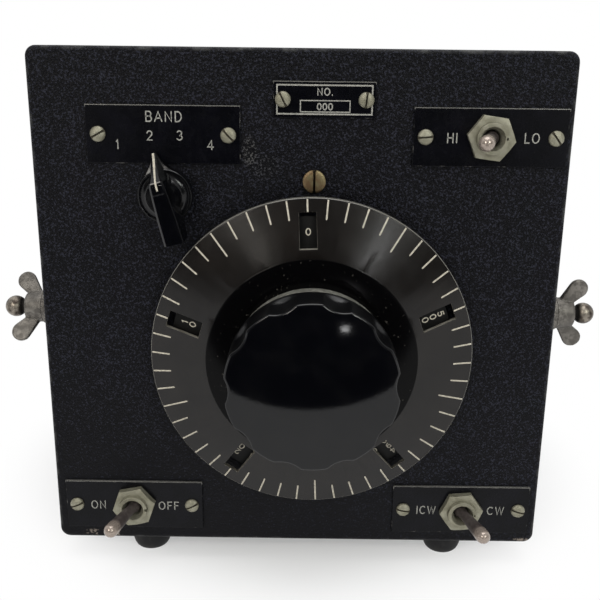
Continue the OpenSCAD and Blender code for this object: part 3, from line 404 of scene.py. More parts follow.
rubber = mottled("foot_rubber", (420, 4, 0.45, 0.8), ((0.004, 0.004, 0.005), (0.018, 0.017, 0.016)),
                 0.6, (1100, 3, 0.03), specular_ior_level=0.3)
dressed("rubber_feet", rubber, 40)
steel = mottled("bright_steel", (350, 4, 0.35, 0.7), ((0.30, 0.30, 0.29), (0.48, 0.47, 0.45)),
                (350, 4, 0.25, 0.25), (1500, 2, 0.01), metallic=1.0)
dressed("foot_screws", steel)


# Engraved plates
# Thin plates in black enamel, each held by two slotted screws, with edges that are rubbed bare here and there and a
# painted highlight along their top edges.
# Their lines and letters are engraved with a round cutter, and the paint in them has aged greyer than the dial's.
enamel = Finish("plate_enamel", specular_ior_level=0.16)
bare_and_top_highlight = (enamel.mark("rim") + enamel.noise(380.0, 4.0) * 0.9).step(1.12, 1.3)
black = enamel.tones(130.0, 4.0, 0.35, 0.8, (0.0007, 0.0008, 0.0018), (0.0022, 0.0022, 0.0042))
enamel.feed(base_color=enamel.mix(bare_and_top_highlight, black, (0.13, 0.127, 0.118)),
            roughness=enamel.noise(600.0, 4.0) * 0.2 + 0.16, metallic=bare_and_top_highlight * 0.3)
enamel.bump(enamel.noise(900.0, 3.0), 0.012 * MM)

filling, fine_grain = (1500, 3, 0.3, 0.75), (2500, 2, 0.01)
cream = mottled("cream_filling", filling, ((0.33, 0.305, 0.25), (0.48, 0.445, 0.37)),
                0.6, fine_grain, specular_ior_level=0.3)
aged = mottled("aged_filling", filling, ((0.19, 0.187, 0.17), (0.30, 0.295, 0.265)),
               0.6, fine_grain, specular_ior_level=0.3)


def bow(cx, cz, rx, rz, start, end, steps):
    """Points on part of an ellipse, in degrees from its right side, counter-clockwise."""
    turns = [math.radians(start + (end - start) * i / steps) for i in range(steps + 1)]
    return [(cx + rx * math.cos(t), cz + rz * math.sin(t)) for t in turns]


GLYPHS = {
    "0": (0.62, [bow(0.31, 0.5, 0.29, 0.48, 90, 450, 20)]),
    "1": (0.3, [[(0.05, 0.78), (0.2, 0.98), (0.2, 0.02)]]),
    "2": (0.6, [bow(0.3, 0.7, 0.26, 0.28, 170, -30, 10) + [(0.04, 0.02), (0.58, 0.02)]]),
    "3": (0.6, [bow(0.28, 0.73, 0.24, 0.25, 150, -80, 9) + bow(0.28, 0.27, 0.28, 0.25, 80, -150, 9)]),
    "4": (0.66, [[(0.46, 0.02), (0.46, 0.98), (0.02, 0.28), (0.64, 0.28)]]),
    "5": (0.6, [[(0.52, 0.98), (0.12, 0.98), (0.08, 0.56)] + bow(0.28, 0.33, 0.28, 0.31, 110, -150, 12)]),
    "6": (0.6, [bow(0.55, 0.52, 0.5, 0.46, 100, 180, 6) + bow(0.3, 0.3, 0.26, 0.28, 180, 520, 16)]),
    "7": (0.56, [[(0.02, 0.98), (0.54, 0.98), (0.18, 0.02)]]),
    "8": (0.6, [bow(0.3, 0.74, 0.22, 0.23, -90, 270, 14) + bow(0.3, 0.26, 0.26, 0.25, 90, -270, 14)[1:]]),
    "9": (0.6, [bow(0.05, 0.48, 0.5, 0.46, -80, 0, 6) + bow(0.3, 0.7, 0.26, 0.28, 0, 340, 16)]),
    "A": (0.72, [[(0.02, 0.02), (0.36, 0.98), (0.7, 0.02)], [(0.15, 0.34), (0.57, 0.34)]]),
    "B": (0.6, [[(0.06, 0.52), (0.36, 0.52)] + bow(0.34, 0.75, 0.2, 0.23, -90, 90, 7)
                + [(0.06, 0.98), (0.06, 0.02), (0.36, 0.02)] + bow(0.36, 0.27, 0.22, 0.25, -90, 90, 7)]),
    "C": (0.7, [bow(0.38, 0.5, 0.34, 0.48, 50, 310, 16)]),
    "D": (0.66, [[(0.06, 0.02), (0.06, 0.98), (0.26, 0.98)] + bow(0.26, 0.5, 0.36, 0.48, 90, -90, 12)
                 + [(0.06, 0.02)]]),
    "F": (0.54, [[(0.06, 0.02), (0.06, 0.98), (0.52, 0.98)], [(0.06, 0.52), (0.44, 0.52)]]),
    "H": (0.66, [[(0.06, 0.02), (0.06, 0.98)], [(0.6, 0.02), (0.6, 0.98)], [(0.06, 0.52), (0.6, 0.52)]]),
    "I": (0.12, [[(0.06, 0.02), (0.06, 0.98)]]),
    "L": (0.52, [[(0.06, 0.98), (0.06, 0.02), (0.5, 0.02)]]),
    "N": (0.68, [[(0.06, 0.02), (0.06, 0.98), (0.62, 0.02), (0.62, 0.98)]]),
    "O": (0.74, [bow(0.37, 0.5, 0.34, 0.48, 90, 450, 20)]),
    "W": (0.96, [[(0.02, 0.98), (0.25, 0.02), (0.48, 0.98), (0.71, 0.02), (0.94, 0.98)]]),
    ".": (0.12, [[(0.06, 0.02), (0.06, 0.06)]]),
}


def stroke(path, width):
    """The outline of a line with round ends: points and faces in two dimensions."""
    closed = math.dist(path[0], path[-1]) < 1e-6
    points = [Vector(p) for p in path]
    ways = [(b - a).normalized() for a, b in zip(points, points[1:])]
    ways_in = [ways[-1 if closed else 0]] + ways
    ways_out = ways + [ways[-1]]
    if closed:
        points.pop()
    count = len(points)
    corners = []
    for point, way_in, way_out in zip(points, ways_in, ways_out):
        mean = (way_in + way_out).normalized() if (way_in + way_out).length > 0.2 else way_in
        side = Vector((-mean.y, mean.x)) * width / 2 * min(1.6, 1 / max(0.3, mean.dot(way_in)))
        corners += [point + side, point - side]
    nexts = [(i, (i + 1) % count) for i in range(count if closed else count - 1)]
    faces = [(2 * i, 2 * i + 1, 2 * j + 1, 2 * j) for i, j in nexts]
    if not closed:
        last = 2 * count - 1
        for low, high, point, way in ((0, 1, points[0], -ways[0]), (last, last - 1, points[-1], ways[-1])):
            first, start = len(corners), math.atan2(way.y, way.x)
            corners += [point + width / 2 * Vector((math.cos(start + t), math.sin(start + t)))
                        for t in (-math.pi / 4, 0, math.pi / 4)]
            faces.append((low, first, first + 1, first + 2, high))
    return corners, faces


def joined(shapes):
    """One list of points and one of faces, from several shapes."""
    points, faces = [], []
    for more, more_faces in shapes:
        faces += [tuple(len(points) + i for i in face) for face in more_faces]
        points += more
    return points, faces


def lettering(text, x, z, tall=2.9, wide=1.0, line=0.36):
    """Points and faces in millimetres for a word with its middle at (x, z), wide being its width factor."""
    gap, strokes = 0.26, []
    at = x - (sum(GLYPHS[c][0] for c in text) + gap * (len(text) - 1)) * wide * tall / 2
    for c in text:
        advance, paths = GLYPHS[c]
        for path in paths:
            strokes.append(stroke([(at + px * tall * wide, z + (pz - 0.5) * tall) for px, pz in path], line))
        at += (advance + gap) * tall * wide
    return joined(strokes)


def facing_front(piece):
    for polygon in piece.data.polygons:
        if polygon.normal.y > 0:
            polygon.flip()
    piece.data.update()


def painted(name, points, faces, finish):
    """Thin paint, with all its faces turned to the front."""
    piece = new_piece(name, points, faces, finish)
    facing_front(piece)
    return piece


def marked(piece, name, values):
    """Holds a value under a name at each point of a piece, for its finish."""
    piece.data.attributes.new(name, "FLOAT", "POINT").data.foreach_set("value", [float(v) for v in values])


def ring(low, high, inset, y):
    """Points about 1.2 mm apart round a rectangle on the panel, inset millimetres inside it."""
    x0, x1, z0, z1 = low.x + inset * MM, high.x - inset * MM, low.z + inset * MM, high.z - inset * MM
    wide, tall = (max(2, round(size / (1.2 * MM))) for size in (high.x - low.x, high.z - low.z))
    corners = [(x0, z0), (x1, z0), (x1, z1), (x0, z1)]
    return [(ax + (bx - ax) * i / count, y, az + (bz - az) * i / count)
            for (ax, az), (bx, bz), count in zip(corners, corners[1:] + corners[:1], (wide, tall, wide, tall))
            for i in range(count)]


def plate(node, words, hole=0, frames=()):
    """An engraved plate for its node: words, a hole's radius and frames of (x, z, width, height, line)."""
    low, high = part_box(node)
    mid_x, mid_z = (low.x + high.x) / 2, (low.z + high.z) / 2
    loops = [(0, high.y, 1), (0, low.y + 0.16 * MM, 1), (0.05, low.y + 0.04 * MM, 1),
             (0.17, low.y, 1), (0.5, low.y, 0)]
    points, values = [], []
    for inset, y, value in loops:
        more = ring(low, high, inset, y)
        points += more
        # Top edges take the full mark and the others 0.62, so the unbroken light line along the top is a painted
        # highlight.
        values += [value * (1 if point[2] > high.z - 0.3 * MM else 0.62) for point in more]
    round_count = len(ring(low, high, 0, 0))
    inner = (len(loops) - 1) * round_count
    faces = [(k + i, k + (i + 1) % round_count, k + round_count + (i + 1) % round_count, k + round_count + i)
             for k in range(0, inner, round_count) for i in range(round_count)]
    mesh = bpy.data.meshes.new(node)
    with reshaped(mesh) as shape:
        for point in points:
            shape.verts.new(point)
        shape.verts.ensure_lookup_table()
        for face in faces:
            shape.faces.new([shape.verts[i] for i in face])
        for y, outer in ((low.y, inner), (high.y, 0)):
            edges = [shape.edges.get((shape.verts[outer + i], shape.verts[outer + (i + 1) % round_count]))
                     for i in range(round_count)]
            if hole:
                turns = [2 * math.pi * k / 48 for k in range(48)]
                well = [shape.verts.new((mid_x + hole * MM * math.cos(t), y, mid_z + hole * MM * math.sin(t)))
                        for t in turns]
                edges += [shape.edges.new((well[k - 1], well[k])) for k in range(48)]
                values += [0] * 48
                shape.verts.ensure_lookup_table()
            bmesh.ops.triangle_fill(shape, use_beauty=True, edges=edges)
        if hole:
            bmesh.ops.bridge_loops(shape, edges=[e for e in shape.edges if len(e.link_faces) == 1])
        bmesh.ops.recalc_face_normals(shape, faces=shape.faces)
    piece = shown(node + "_enamelled", mesh, enamel)
    marked(piece, "rim", values)
    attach(piece, "cabinet")
    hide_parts(node)
    shapes = [lettering(*word) for word in words]
    for x, z, w, h, line in frames:
        corners = [(x + a * (w / 2 - inset), z + b * (h / 2 - inset))
                   for inset in (0, line) for a, b in ((-1, -1), (1, -1), (1, 1), (-1, 1))]
        shapes.append((corners, [(k, (k + 1) % 4, 4 + (k + 1) % 4, 4 + k) for k in range(4)]))
    corners, faces = joined(shapes)
    paint_y = (low.y - FRONT) / MM - 0.02
    marks = painted(node + "_marks", [on_panel(x, paint_y, z) for x, z in corners], faces, aged)
    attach(marks, "cabinet")


plate("band_plate", [("BAND", -41.0, 61.5, 3.0, 1.05), ("1", -55.1, 53.2, 2.8), ("2", -45.35, 55.9, 2.8),
                     ("3", -36.35, 56.0, 2.8), ("4", -27.15, 53.3, 2.8)])
plate("level_plate", [("HI", 45.1, 56.2), ("LO", 68.9, 56.4)], hole=4.9)
plate("mains_plate", [("ON", -67.5, -68.4), ("OFF", -43.6, -68.5)], hole=4.9)
plate("mode_plate", [("ICW", 43.9, -68.8, 2.9, 0.95), ("CW", 67.5, -68.8)], hole=4.9)
plate("serial_plate", [("NO.", 6.9, 69.2, 2.0, 1.1, 0.35), ("000", 6.9, 64.9, 1.9, 1.0, 0.35)],
      frames=[(6.8, 66.9, 28.6, 8.8, 0.45), (7.0, 65.0, 15.0, 3.6, 0.32)])


# Plate screws
# Ten slotted round-head screws in worn nickel plate, turned home at odd angles, darker in their slots and round the
# foot of each head.
nickel = Finish("worn_nickel", metallic=0.6)
fine = nickel.noise(2000.0, 3.0)
grime = nickel.mark("grime")
plating = nickel.tones(380.0, 4.0, 0.3, 0.72, (0.21, 0.20, 0.145), (0.30, 0.29, 0.225))
nickel.feed(base_color=nickel.mix(grime, plating, (0.045, 0.038, 0.025)),
            roughness=(fine * 0.2 + 0.42 + grime * 0.3).least(1.0))
nickel.bump(fine, 0.02 * MM)


def skin_of(rows, count):
    """Faces that join rows of count points each, with a cap on the first row and on the last."""
    last = (rows - 1) * count
    faces = [(a + i, a + count + i, a + count + (i + 1) % count, a + (i + 1) % count)
             for a in range(0, last, count) for i in range(count)]
    return faces + [tuple(range(count)), tuple(reversed(range(last, last + count)))]


def outward(piece):
    """Turns a closed piece's faces outwards."""
    with reshaped(piece.data) as shape:
        bmesh.ops.recalc_face_normals(shape, faces=shape.faces)


def around(radius, y, i, count):
    """Point i of count on a circle about the Y axis."""
    t = 2 * math.pi * i / count
    return radius * math.cos(t), y, radius * math.sin(t)


def lathed(name, rows, at, finish, count=192):
    """A closed turned piece from (radius, y) rows, placed by at(x, y, z)."""
    points = [at(*around(r, y, i, count)) for r, y in rows for i in range(count)]
    piece = new_piece(name, points, skin_of(len(rows), count), finish)
    outward(piece)
    return piece


def slotted_head(name, radius, rise, slot, edge, finish):
    """A domed head in front of y = 0, slotted along Z, whose slot and foot are marked to be darker. Sizes are in
    millimetres.
    """
    radius, rise, slot, edge, count = radius * MM, rise * MM, slot * MM, edge * MM, 48
    profile = [(radius, 0, 0.7), (radius, -edge, 0.2)]
    profile += [(radius * math.cos(t), -edge - (rise - edge) * math.sin(t), 0) for t in (0.35, 0.7, 1.05, 1.35)]
    head = lathed(name, [(r, y) for r, y, _ in profile], lambda *point: point, finish, count)
    marked(head, "grime", [dirt for _, _, dirt in profile for _ in range(count)])
    corners = [(x * slot / 2, y, z * radius * 2)
               for x in (-1, 1) for y in (-rise * 2, -rise * 0.4) for z in (-1, 1)]
    cutter = new_piece(name + "_slot", corners, [(0, 1, 3, 2), (4, 6, 7, 5), (0, 4, 5, 1), (2, 3, 7, 6),
                                                 (0, 2, 6, 4), (1, 5, 7, 3)], finish)
    head.modifiers.new("slot", "BOOLEAN").object = cutter
    rounded(head, width=0.07, angle=45)
    made_plain(head)
    bpy.data.objects.remove(cutter)
    marks = head.data.attributes["grime"]
    for v in head.data.vertices:
        if abs(v.co.x) < slot * 0.62 and v.co.y > -rise * 0.9:
            marks.data[v.index].value = max(marks.data[v.index].value, 0.9)
    head.data.shade_smooth()
    bpy.context.scene.collection.objects.unlink(head)
    return head


def grown(piece, build, **given):
    """A piece's mesh as a node tree makes it, with the tree's inputs given as name=(kind, value)."""
    tree = bpy.data.node_groups.new(piece.name + "_nodes", "GeometryNodeTree")
    tree.interface.new_socket("Geometry", in_out="INPUT", socket_type="NodeSocketGeometry")
    sockets = {name: tree.interface.new_socket(name, in_out="INPUT", socket_type="NodeSocket" + kind)
               for name, (kind, _) in given.items()}
    tree.interface.new_socket("Geometry", in_out="OUTPUT", socket_type="NodeSocketGeometry")

    maker = Tree(tree)
    start, end = tree.nodes.new("NodeGroupInput"), tree.nodes.new("NodeGroupOutput")
    maker.join(end.inputs[0], build(maker, {socket.name: Value(maker, socket) for socket in start.outputs}))
    made = piece.modifiers.new("nodes", "NODES")
    made.node_group = tree
    for name, (_, value) in given.items():
        made[sockets[name].identifier] = value
    return made_plain(piece)


def placed_copies(tree, given, points, turn, size=(1, 1, 1)):
    """Steps of a tree that puts a copy of the model on each point, in the finish."""
    model = tree.make("GeometryNodeObjectInfo", {}, {"Object": given["model"]}, "Geometry")
    copies = tree.make("GeometryNodeInstanceOnPoints", {}, {
        "Points": points, "Instance": model, "Rotation": turn, "Scale": size})
    real = tree.make("GeometryNodeRealizeInstances", {}, {0: copies})
    return tree.make("GeometryNodeSetMaterial", {}, {"Geometry": real, "Material": given["finish"]})


def copied(name, head, places, finish):
    """Copies of one head at (point, turn clockwise in degrees), made with a node tree as one plain mesh."""
    piece = new_piece(name, [point for point, _ in places], [], finish)
    marked(piece, "turn", [math.radians(turn) for _, turn in places])

    def build(tree, given):
        turn = tree.make("GeometryNodeInputNamedAttribute", {}, {"Name": "turn"})
        return placed_copies(tree, given, given["Geometry"], tree.combined(Y=turn))

    return grown(piece, build, model=("Object", head), finish=("Material", finish.material))


screw_places = [(on_panel(x, -0.8, z), turn) for x, z, turn in (
    (37.1, 56.4, 85), (76.1, 56.4, -38), (-74.7, -68.2, 67), (-35.7, -68.2, 63), (36.1, -68.6, 100),
    (75.1, -68.6, -74), (-60.8, 56.2, 61), (-21.8, 56.2, -43), (-5.55, 66.9, -27), (19.15, 66.9, 6))]
round_head = slotted_head("round_head", radius=2.35, rise=1.4, slot=0.55, edge=0.35, finish=nickel)
screws = copied("plate_screw_heads", round_head, screw_places, nickel)
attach(screws, "cabinet")
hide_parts("plate_screws")


# Switch nuts and bushings
# Chamfered hex nuts in the same nickel, cut from bar, hold the three switches by their threaded bushings.
def hex_head(name, flats, tall, bore, finish):
    """A hex nut in front of y = 0 with a turned chamfer. Sizes are in millimetres."""
    count, inner = 96, flats / 2
    rows = [[] for _ in range(6)]
    for i in range(count):
        t = 2 * math.pi * i / count
        corner = t % (math.pi / 3) - math.pi / 6
        out = inner / math.cos(corner)
        drop = (out - inner) * 0.5
        for row, (r, y) in zip(rows, ((bore, 0), (out, 0), (out, -tall + drop + 0.12),
                                      (out - 0.1, -tall + drop), (inner - 0.35, -tall), (bore, -tall))):
            row.append((r * math.cos(t) * MM, y * MM, r * math.sin(t) * MM))
    points = [point for row in rows for point in row]
    faces = [(a + i, a + (i + 1) % count, b + (i + 1) % count, b + i)
             for a, b in ((k * count, (k + 1) % 6 * count) for k in range(6)) for i in range(count)]
    head = new_piece(name, points, faces, finish)
    with reshaped(head.data) as shape:
        bmesh.ops.recalc_face_normals(shape, faces=shape.faces)
        for edge in shape.edges:
            edge.smooth = edge.calc_face_angle(0) < math.radians(20)
    head.data.shade_smooth()
    bpy.context.scene.collection.objects.unlink(head)
    return head


nut_places = [(on_panel(x, -0.8, z), turn)
              for x, z, turn in ((56.6, 56.4, 8), (-55.2, -68.2, -11), (55.6, -68.6, -5))]
hex_nut = hex_head("hex_nut", flats=12.7, tall=2.4, bore=4.8, finish=nickel)
nuts = copied("switch_nuts", hex_nut, nut_places, nickel)
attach(nuts, "cabinet")
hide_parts("toggle_nuts")
dressed("toggle_bushings", nickel, 30, bevel=0.12)
dressed("band_nut", nickel, 30)


# Switch levers
# Turned levers with rounded ends, their nickel worn to a warm bare metal at the tips and dull along the shanks.
lever_metal = Finish("lever_nickel", metallic=0.45)
touched = lever_metal.mark("touched")
spots = lever_metal.noise(700.0, 4.0)
shank = lever_metal.mix(spots.step(0.35, 0.7), (0.062, 0.050, 0.048), (0.098, 0.083, 0.080))
handled = (touched + (spots - 0.5) * 0.4).step(0.3, 0.85)
lever_metal.feed(base_color=lever_metal.mix(handled, shank, (0.30, 0.25, 0.215)), roughness=0.46 - touched * 0.26)
lever_metal.bump(spots, 0.03 * MM)


def lever(node, x, z, turn):
    """A bat lever from its pivot in the bushing, leaning turn degrees to the right as it comes forward."""
    ball, tip, worn_from, worn_at = 2.3, 16.3, 11, 16
    profile = [(ball * math.sin(t), -ball * math.cos(t)) for t in (0.01, 0.5, 1.0, 1.57, 2.0, 2.3)]
    profile += [(1.6, 2.2), (1.7, 4), (1.85, 7), (2.05, 10), (2.2, 13), (2.3, 15)]
    profile += [(ball * math.cos(t), tip + ball * math.sin(t)) for t in (0, 0.35, 0.7, 1.0, 1.3, 1.56)]
    piece = lathed(node + "_turned", profile, lambda x, y, z: Vector((x, z, y)) * MM, lever_metal, 40)
    piece.data.shade_smooth()
    marked(piece, "touched", [min(1, max(0, (v.co.z / MM - worn_from) / (worn_at - worn_from)))
                              for v in piece.data.vertices])
    piece.data.transform(Matrix.Translation(on_panel(x, -1.5, z)) @ Matrix.Rotation(math.radians(90), 4, "X")
                         @ Matrix.Rotation(math.radians(turn), 4, "Y"))
    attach(piece, {"level_lever": "level_toggle", "mains_lever": "mains_toggle",
                    "mode_lever": "mode_toggle"}[node])
    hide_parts(node)


lever("level_lever", 56.6, 56.4, -16)
lever("mains_lever", -55.2, -68.2, -16)
lever("mode_lever", 55.6, -68.6, 16)


# Index screw
# The larger screw over the dial: its slot is the mark that the dial is read against.
# Its plating has worn to brown brass.
bronze = Finish("worn_brass", metallic=1.0)
patches = bronze.noise(500.0, 4.0)
browned = bronze.mix(patches.step(0.35, 0.65), (0.19, 0.125, 0.07), (0.23, 0.19, 0.105))
bronze.feed(base_color=bronze.mix(bronze.mark("grime"), browned, (0.012, 0.01, 0.008)),
            roughness=bronze.noise(1800.0, 3.0) * 0.2 + 0.38)
bronze.bump(patches, 0.02 * MM)
cheese_head = slotted_head("cheese_head", radius=3.5, rise=1.95, slot=0.75, edge=1.5, finish=bronze)
index = copied("index_screw_head", cheese_head, [(on_panel(4.1, 0, 42.7), 0)], bronze)
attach(index, "cabinet")
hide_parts("index_screw")


# Tuning dial
# A thin turned shell in dark lacquer with fine turning marks: a cone with five windows, a flat ring and a rim with a
# painted highlight line.
# Its fifty graduations are cut and filled with cream, a long one between each pair of windows.
DIAL_X, DIAL_Z = 4.1, -12.2
REST_TURN = 2.3
lacquer = Finish("dial_lacquer", specular_ior_level=0.36)
dial_spot = lacquer.place()
off_axis = lacquer.vector("SUBTRACT", dial_spot, (DIAL_X * MM, 0, MIDDLE + DIAL_Z * MM))
radius = lacquer.vector("LENGTH", lacquer.vector("MULTIPLY", off_axis, (1, 0, 1)), out="Value")
turning_marks = lacquer.make("ShaderNodeTexNoise", {"noise_dimensions": "1D"}, {
    "W": radius, "Scale": 2600.0, "Detail": 3.0})
# A thin light line all round the rim is painted in as its highlight.
edge = radius.step(50.5 * MM, 50.68 * MM)
brown = lacquer.tones(80.0, 4.0, 0.35, 0.75, (0.0034, 0.0025, 0.0020), (0.0068, 0.0053, 0.0043), dial_spot)
lacquer.feed(base_color=lacquer.mix(edge, brown, (0.14, 0.135, 0.12)),
             roughness=lacquer.noise(300.0, 3.0, dial_spot) * 0.1 + 0.16)
lacquer.bump(turning_marks, 0.01 * MM)
shell = dressed("dial_shell", lacquer, 20, bevel=0.1)
polish = mottled("dial_ring_lacquer", (900, 4, 0.66, 0.74), ((0.0011, 0.0010, 0.0012), (0.05, 0.047, 0.04)),
                 (150, 4, 0.08, 0.1), (150, 4, 0.01), specular_ior_level=0.1)
bare_edge = mottled("window_edge_alloy", (500, 4, 0.35, 0.7), ((0.26, 0.24, 0.20), (0.42, 0.40, 0.35)),
                    (1200, 3, 0.2, 0.35), (1500, 3, 0.01), metallic=0.6)
shell.data.materials.append(polish.material)
shell.data.materials.append(bare_edge.material)
ring_r, ring_back, window_start, window_end = 32.9, -10, 35, 47.5
for polygon in shell.data.polygons:
    x, y, z = (polygon.center - on_panel(DIAL_X, 0, DIAL_Z)) / MM
    if math.hypot(x, z) < ring_r and y < ring_back:
        polygon.material_index = 1
    elif window_start < math.hypot(x, z) < window_end and abs(polygon.normal.y) < 0.5:
        polygon.material_index = 2


def on_dial(x, y, z):
    return on_panel(DIAL_X + x, y, DIAL_Z + z)


def smoothed(piece, angle=40):
    """Shades a piece smooth, apart from edges sharper than an angle."""
    piece.data.shade_smooth()
    piece.data.set_sharp_from_angle(angle=math.radians(angle))


ring_rows = [(0.01, -10.2), (32.9, -10.2), (33.02, -10.48), (32.9, -10.55), (32.6, -10.6), (29, -10.89),
             (25.4, -11.14), (0.01, -11.14)]
flat_ring = lathed("dial_flat_ring", ring_rows, on_dial, polish)
smoothed(flat_ring)
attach(flat_ring, "dial")


def graduated(name, count, start_r, wide, finish):
    """Filled lines round the dial, made with a node tree: each is a bar laid from near the rim down the cone."""
    rim_r, rim_y, cone_slope, proud = 50.8, -5.5, 5 / 17.8, 0.03
    outline = ((-0.5, 0), (0.5, 0), (0.5, -0.96), (0.25, -1), (-0.25, -1), (-0.5, -0.96))
    bar = new_piece("line_bar", [(wide * MM * x, 0, z) for x, z in outline], [tuple(range(len(outline)))], finish)
    bpy.context.scene.collection.objects.unlink(bar)
    piece = new_piece(name, [(0, 0, 0)], [], finish)

    def build(tree, given):
        number = tree.make("GeometryNodeInputIndex")
        turn = number * (-2 * math.pi) / given["lines"] - math.radians(REST_TURN)
        tenth, length = number.math("MODULO", 10), given["short"]
        for place, other in ((0, "at_window"), (5, "long")):
            length += tenth.math("COMPARE", place, 0.1) * (given[other] - given["short"])
        points = tree.make("GeometryNodeSetPosition", {}, {
            "Geometry": tree.make("GeometryNodeMeshLine", {}, {"Count": given["lines"], "Offset": (0, 0, 0)}),
            "Position": tree.combined(X=turn.math("SINE") * given["start"], Z=turn.math("COSINE") * given["start"])})
        return placed_copies(tree, given, points, tree.combined(X=given["slope"], Y=turn),
                             tree.combined(X=1.0, Y=1.0, Z=length))

    grown(piece, build, lines=("Int", count), start=("Float", start_r * MM), short=("Float", 6.1 * MM),
          long=("Float", 8.8 * MM), at_window=("Float", 3.9 * MM), slope=("Float", -math.atan(cone_slope)),
          model=("Object", bar), finish=("Material", finish.material))
    piece.data.transform(Matrix.Translation(on_dial(0, rim_y - (rim_r - start_r) * cone_slope - proud, 0)))
    facing_front(piece)
    return piece


lines = graduated("dial_graduations", 50, 50.4, 0.5, cream)
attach(lines, "dial")


# Number disc
# A black disc behind the windows, geared to fall one figure behind with each turn of the dial.
# Its 51 figures are cut radially, the first digit outermost, and filled with the same cream.
disc_black = mottled("disc_enamel", (200, 4, 0.4, 0.8), ((0.0008, 0.0008, 0.0008), (0.0025, 0.0023, 0.002)),
                     (900, 3, 0.2, 0.4), (1400, 2, 0.01), specular_ior_level=0.18)
dressed("number_disc", disc_black, 20)

figure_count, figure_r, digit_pitch, off_even = 51, 39.9, 2.6, 2.2
axis_up, disc_r, disc_y, disc_slope, proud = 0.55, 32.55, -7.64, 0.24854, 0.03
shapes = []
for j in range(figure_count):
    along_disc = j * 10 * 360 / figure_count
    ccw = math.radians(REST_TURN + along_disc + off_even * math.sin(math.radians(along_disc)))
    digits = str(10 * j)
    for k, digit in enumerate(digits):
        corners, faces = lettering(digit, 0, ((len(digits) - 1) / 2 - k) * digit_pitch, 1.95, 1.2, 0.34)
        points = []
        for u, v in corners:
            r = figure_r + v
            x, z = u * math.cos(ccw) - r * math.sin(ccw), u * math.sin(ccw) + r * math.cos(ccw)
            points.append(on_dial(x, disc_y + (math.hypot(x, z) - disc_r) * disc_slope - proud, axis_up + z))
        shapes.append((points, faces))
figures = painted("disc_figures", *joined(shapes), cream)
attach(figures, "number_disc")


# Tuning knob
# A moulded black phenolic knob: ten finger flutes behind a rolled edge and a slightly domed, glossier face.
# Its plain collar is dull cast alloy, and two set screws through it hold the knob on the shaft.
phenolic = Finish("black_phenolic", specular_ior_level=0.36)
phenolic.feed(base_color=phenolic.tones(120.0, 4.0, 0.4, 0.75, (0.0009, 0.0010, 0.0016), (0.0022, 0.0022, 0.0026)),
              roughness=phenolic.noise(420.0, 4.0) * 0.05 + 0.035 + phenolic.mark("side") * 0.24)
phenolic.bump(phenolic.noise(900.0, 3.0), 0.004 * MM)
around_knob, side_rings = 480, 22


def fluted_knob():
    """The knob's head as closed rings of points, from the middle of its back to the middle of its face."""
    count, flute, spread, full, back = around_knob, 8.0, 32.3, 25.7, -19.95

    def outline(inset, depth):
        """Radii round the knob: the full circle blended towards the fluted outline, inset by a rolled edge."""
        radii = []
        for i in range(count):
            t = math.radians(360 * i / count + 18 - REST_TURN) % math.radians(36) - math.radians(18)
            under = (flute + inset) ** 2 - (spread * math.sin(t)) ** 2
            plain = full - inset
            cut = spread * math.cos(t) - math.sqrt(under) if under > 0 else 99.0
            soft = 0.18
            fluted = -soft * math.log(math.exp(-plain / soft) + math.exp(-min(cut, plain + 9) / soft)) + plain
            radii.append(plain + (fluted - 2 * plain) * depth)
        return radii

    def dome(r, front=-33.9, round_r=236.6):
        return front + round_r - math.sqrt(round_r ** 2 - r * r)

    rings = [([r] * count, [back] * count) for r in (0.01, 8, 16, 24.6, 25.3)]
    rings += [([25.55] * count, [back - 0.1] * count), ([25.7] * count, [back - 0.35] * count),
              ([25.7] * count, [back - 0.7] * count)]
    for k in range(1, 9):
        depth = k / 8
        rings.append((outline(0, depth * depth * (3 - 2 * depth)), [back - 0.7 - 2.6 * depth] * count))
    roll = 0.7
    top = [dome(r) + roll for r in outline(roll, 1)]
    for k in range(1, 7):
        rings.append((outline(0, 1), [back - 3.3 + (y - back + 3.3) * k / 6 for y in top]))
    for k in range(1, 7):
        t = math.pi / 2 * k / 6
        rings.append((outline(roll * (1 - math.cos(t)), 1), [y - roll * math.sin(t) for y in top]))
    face = outline(roll, 1)
    for share in (0.985, 0.96, 0.92, 0.84, 0.74, 0.62, 0.5, 0.38, 0.26, 0.14, 0.001):
        even = (1 - share) ** 0.5
        radii = [r * share * (1 - even) + 24 * share * even for r in face]
        rings.append((radii, [dome(r) for r in radii]))
    points = [on_dial(*around(r, y, i, count))
              for radii, depths in rings for i, (r, y) in enumerate(zip(radii, depths))]
    return points, skin_of(len(rings), count)


knob = new_piece("fluted_knob", *fluted_knob(), phenolic)
outward(knob)
marked(knob, "side", [v.index < side_rings * around_knob for v in knob.data.vertices])
smoothed(knob)

collar_metal = mottled("collar_alloy", (700, 5, 0.35, 0.7), ((0.11, 0.108, 0.092), (0.22, 0.217, 0.19)),
                       (700, 5, 0.2, 0.55), (700, 5, 0.04), metallic=0.25)
collar_rows = [(0.01, -11.2), (23.9, -11.2), (24.2, -11.25), (24.3, -11.45), (24.3, -19.95), (0.01, -19.95)]
collar = lathed("knob_collar", collar_rows, on_dial, collar_metal)
hole_y, hole_r, hole_deep = -17.1, 1.6, 9
drills = new_piece("set_screw_drill", [], [], collar_metal)
at_rest = Matrix.Translation(on_dial(0, hole_y, 0)) @ Matrix.Rotation(math.radians(-REST_TURN), 4, "Y")
with reshaped(drills.data) as drill:
    for x, z, turn in ((24, 0, 90), (0, -24, 0)):
        place = at_rest @ Matrix.Translation((x * MM, 0, z * MM)) @ Matrix.Rotation(math.radians(turn), 4, "Y")
        bmesh.ops.create_cone(drill, cap_ends=True, segments=40, radius1=hole_r * MM, radius2=hole_r * MM,
                              depth=hole_deep * MM, matrix=place)
collar.modifiers.new("holes", "BOOLEAN").object = drills
made_plain(collar)
bpy.data.objects.remove(drills)
smoothed(collar)
for piece in (knob, collar):
    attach(piece, "dial")
    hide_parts("tuning_knob")
dressed("knob_set_screws", steel)


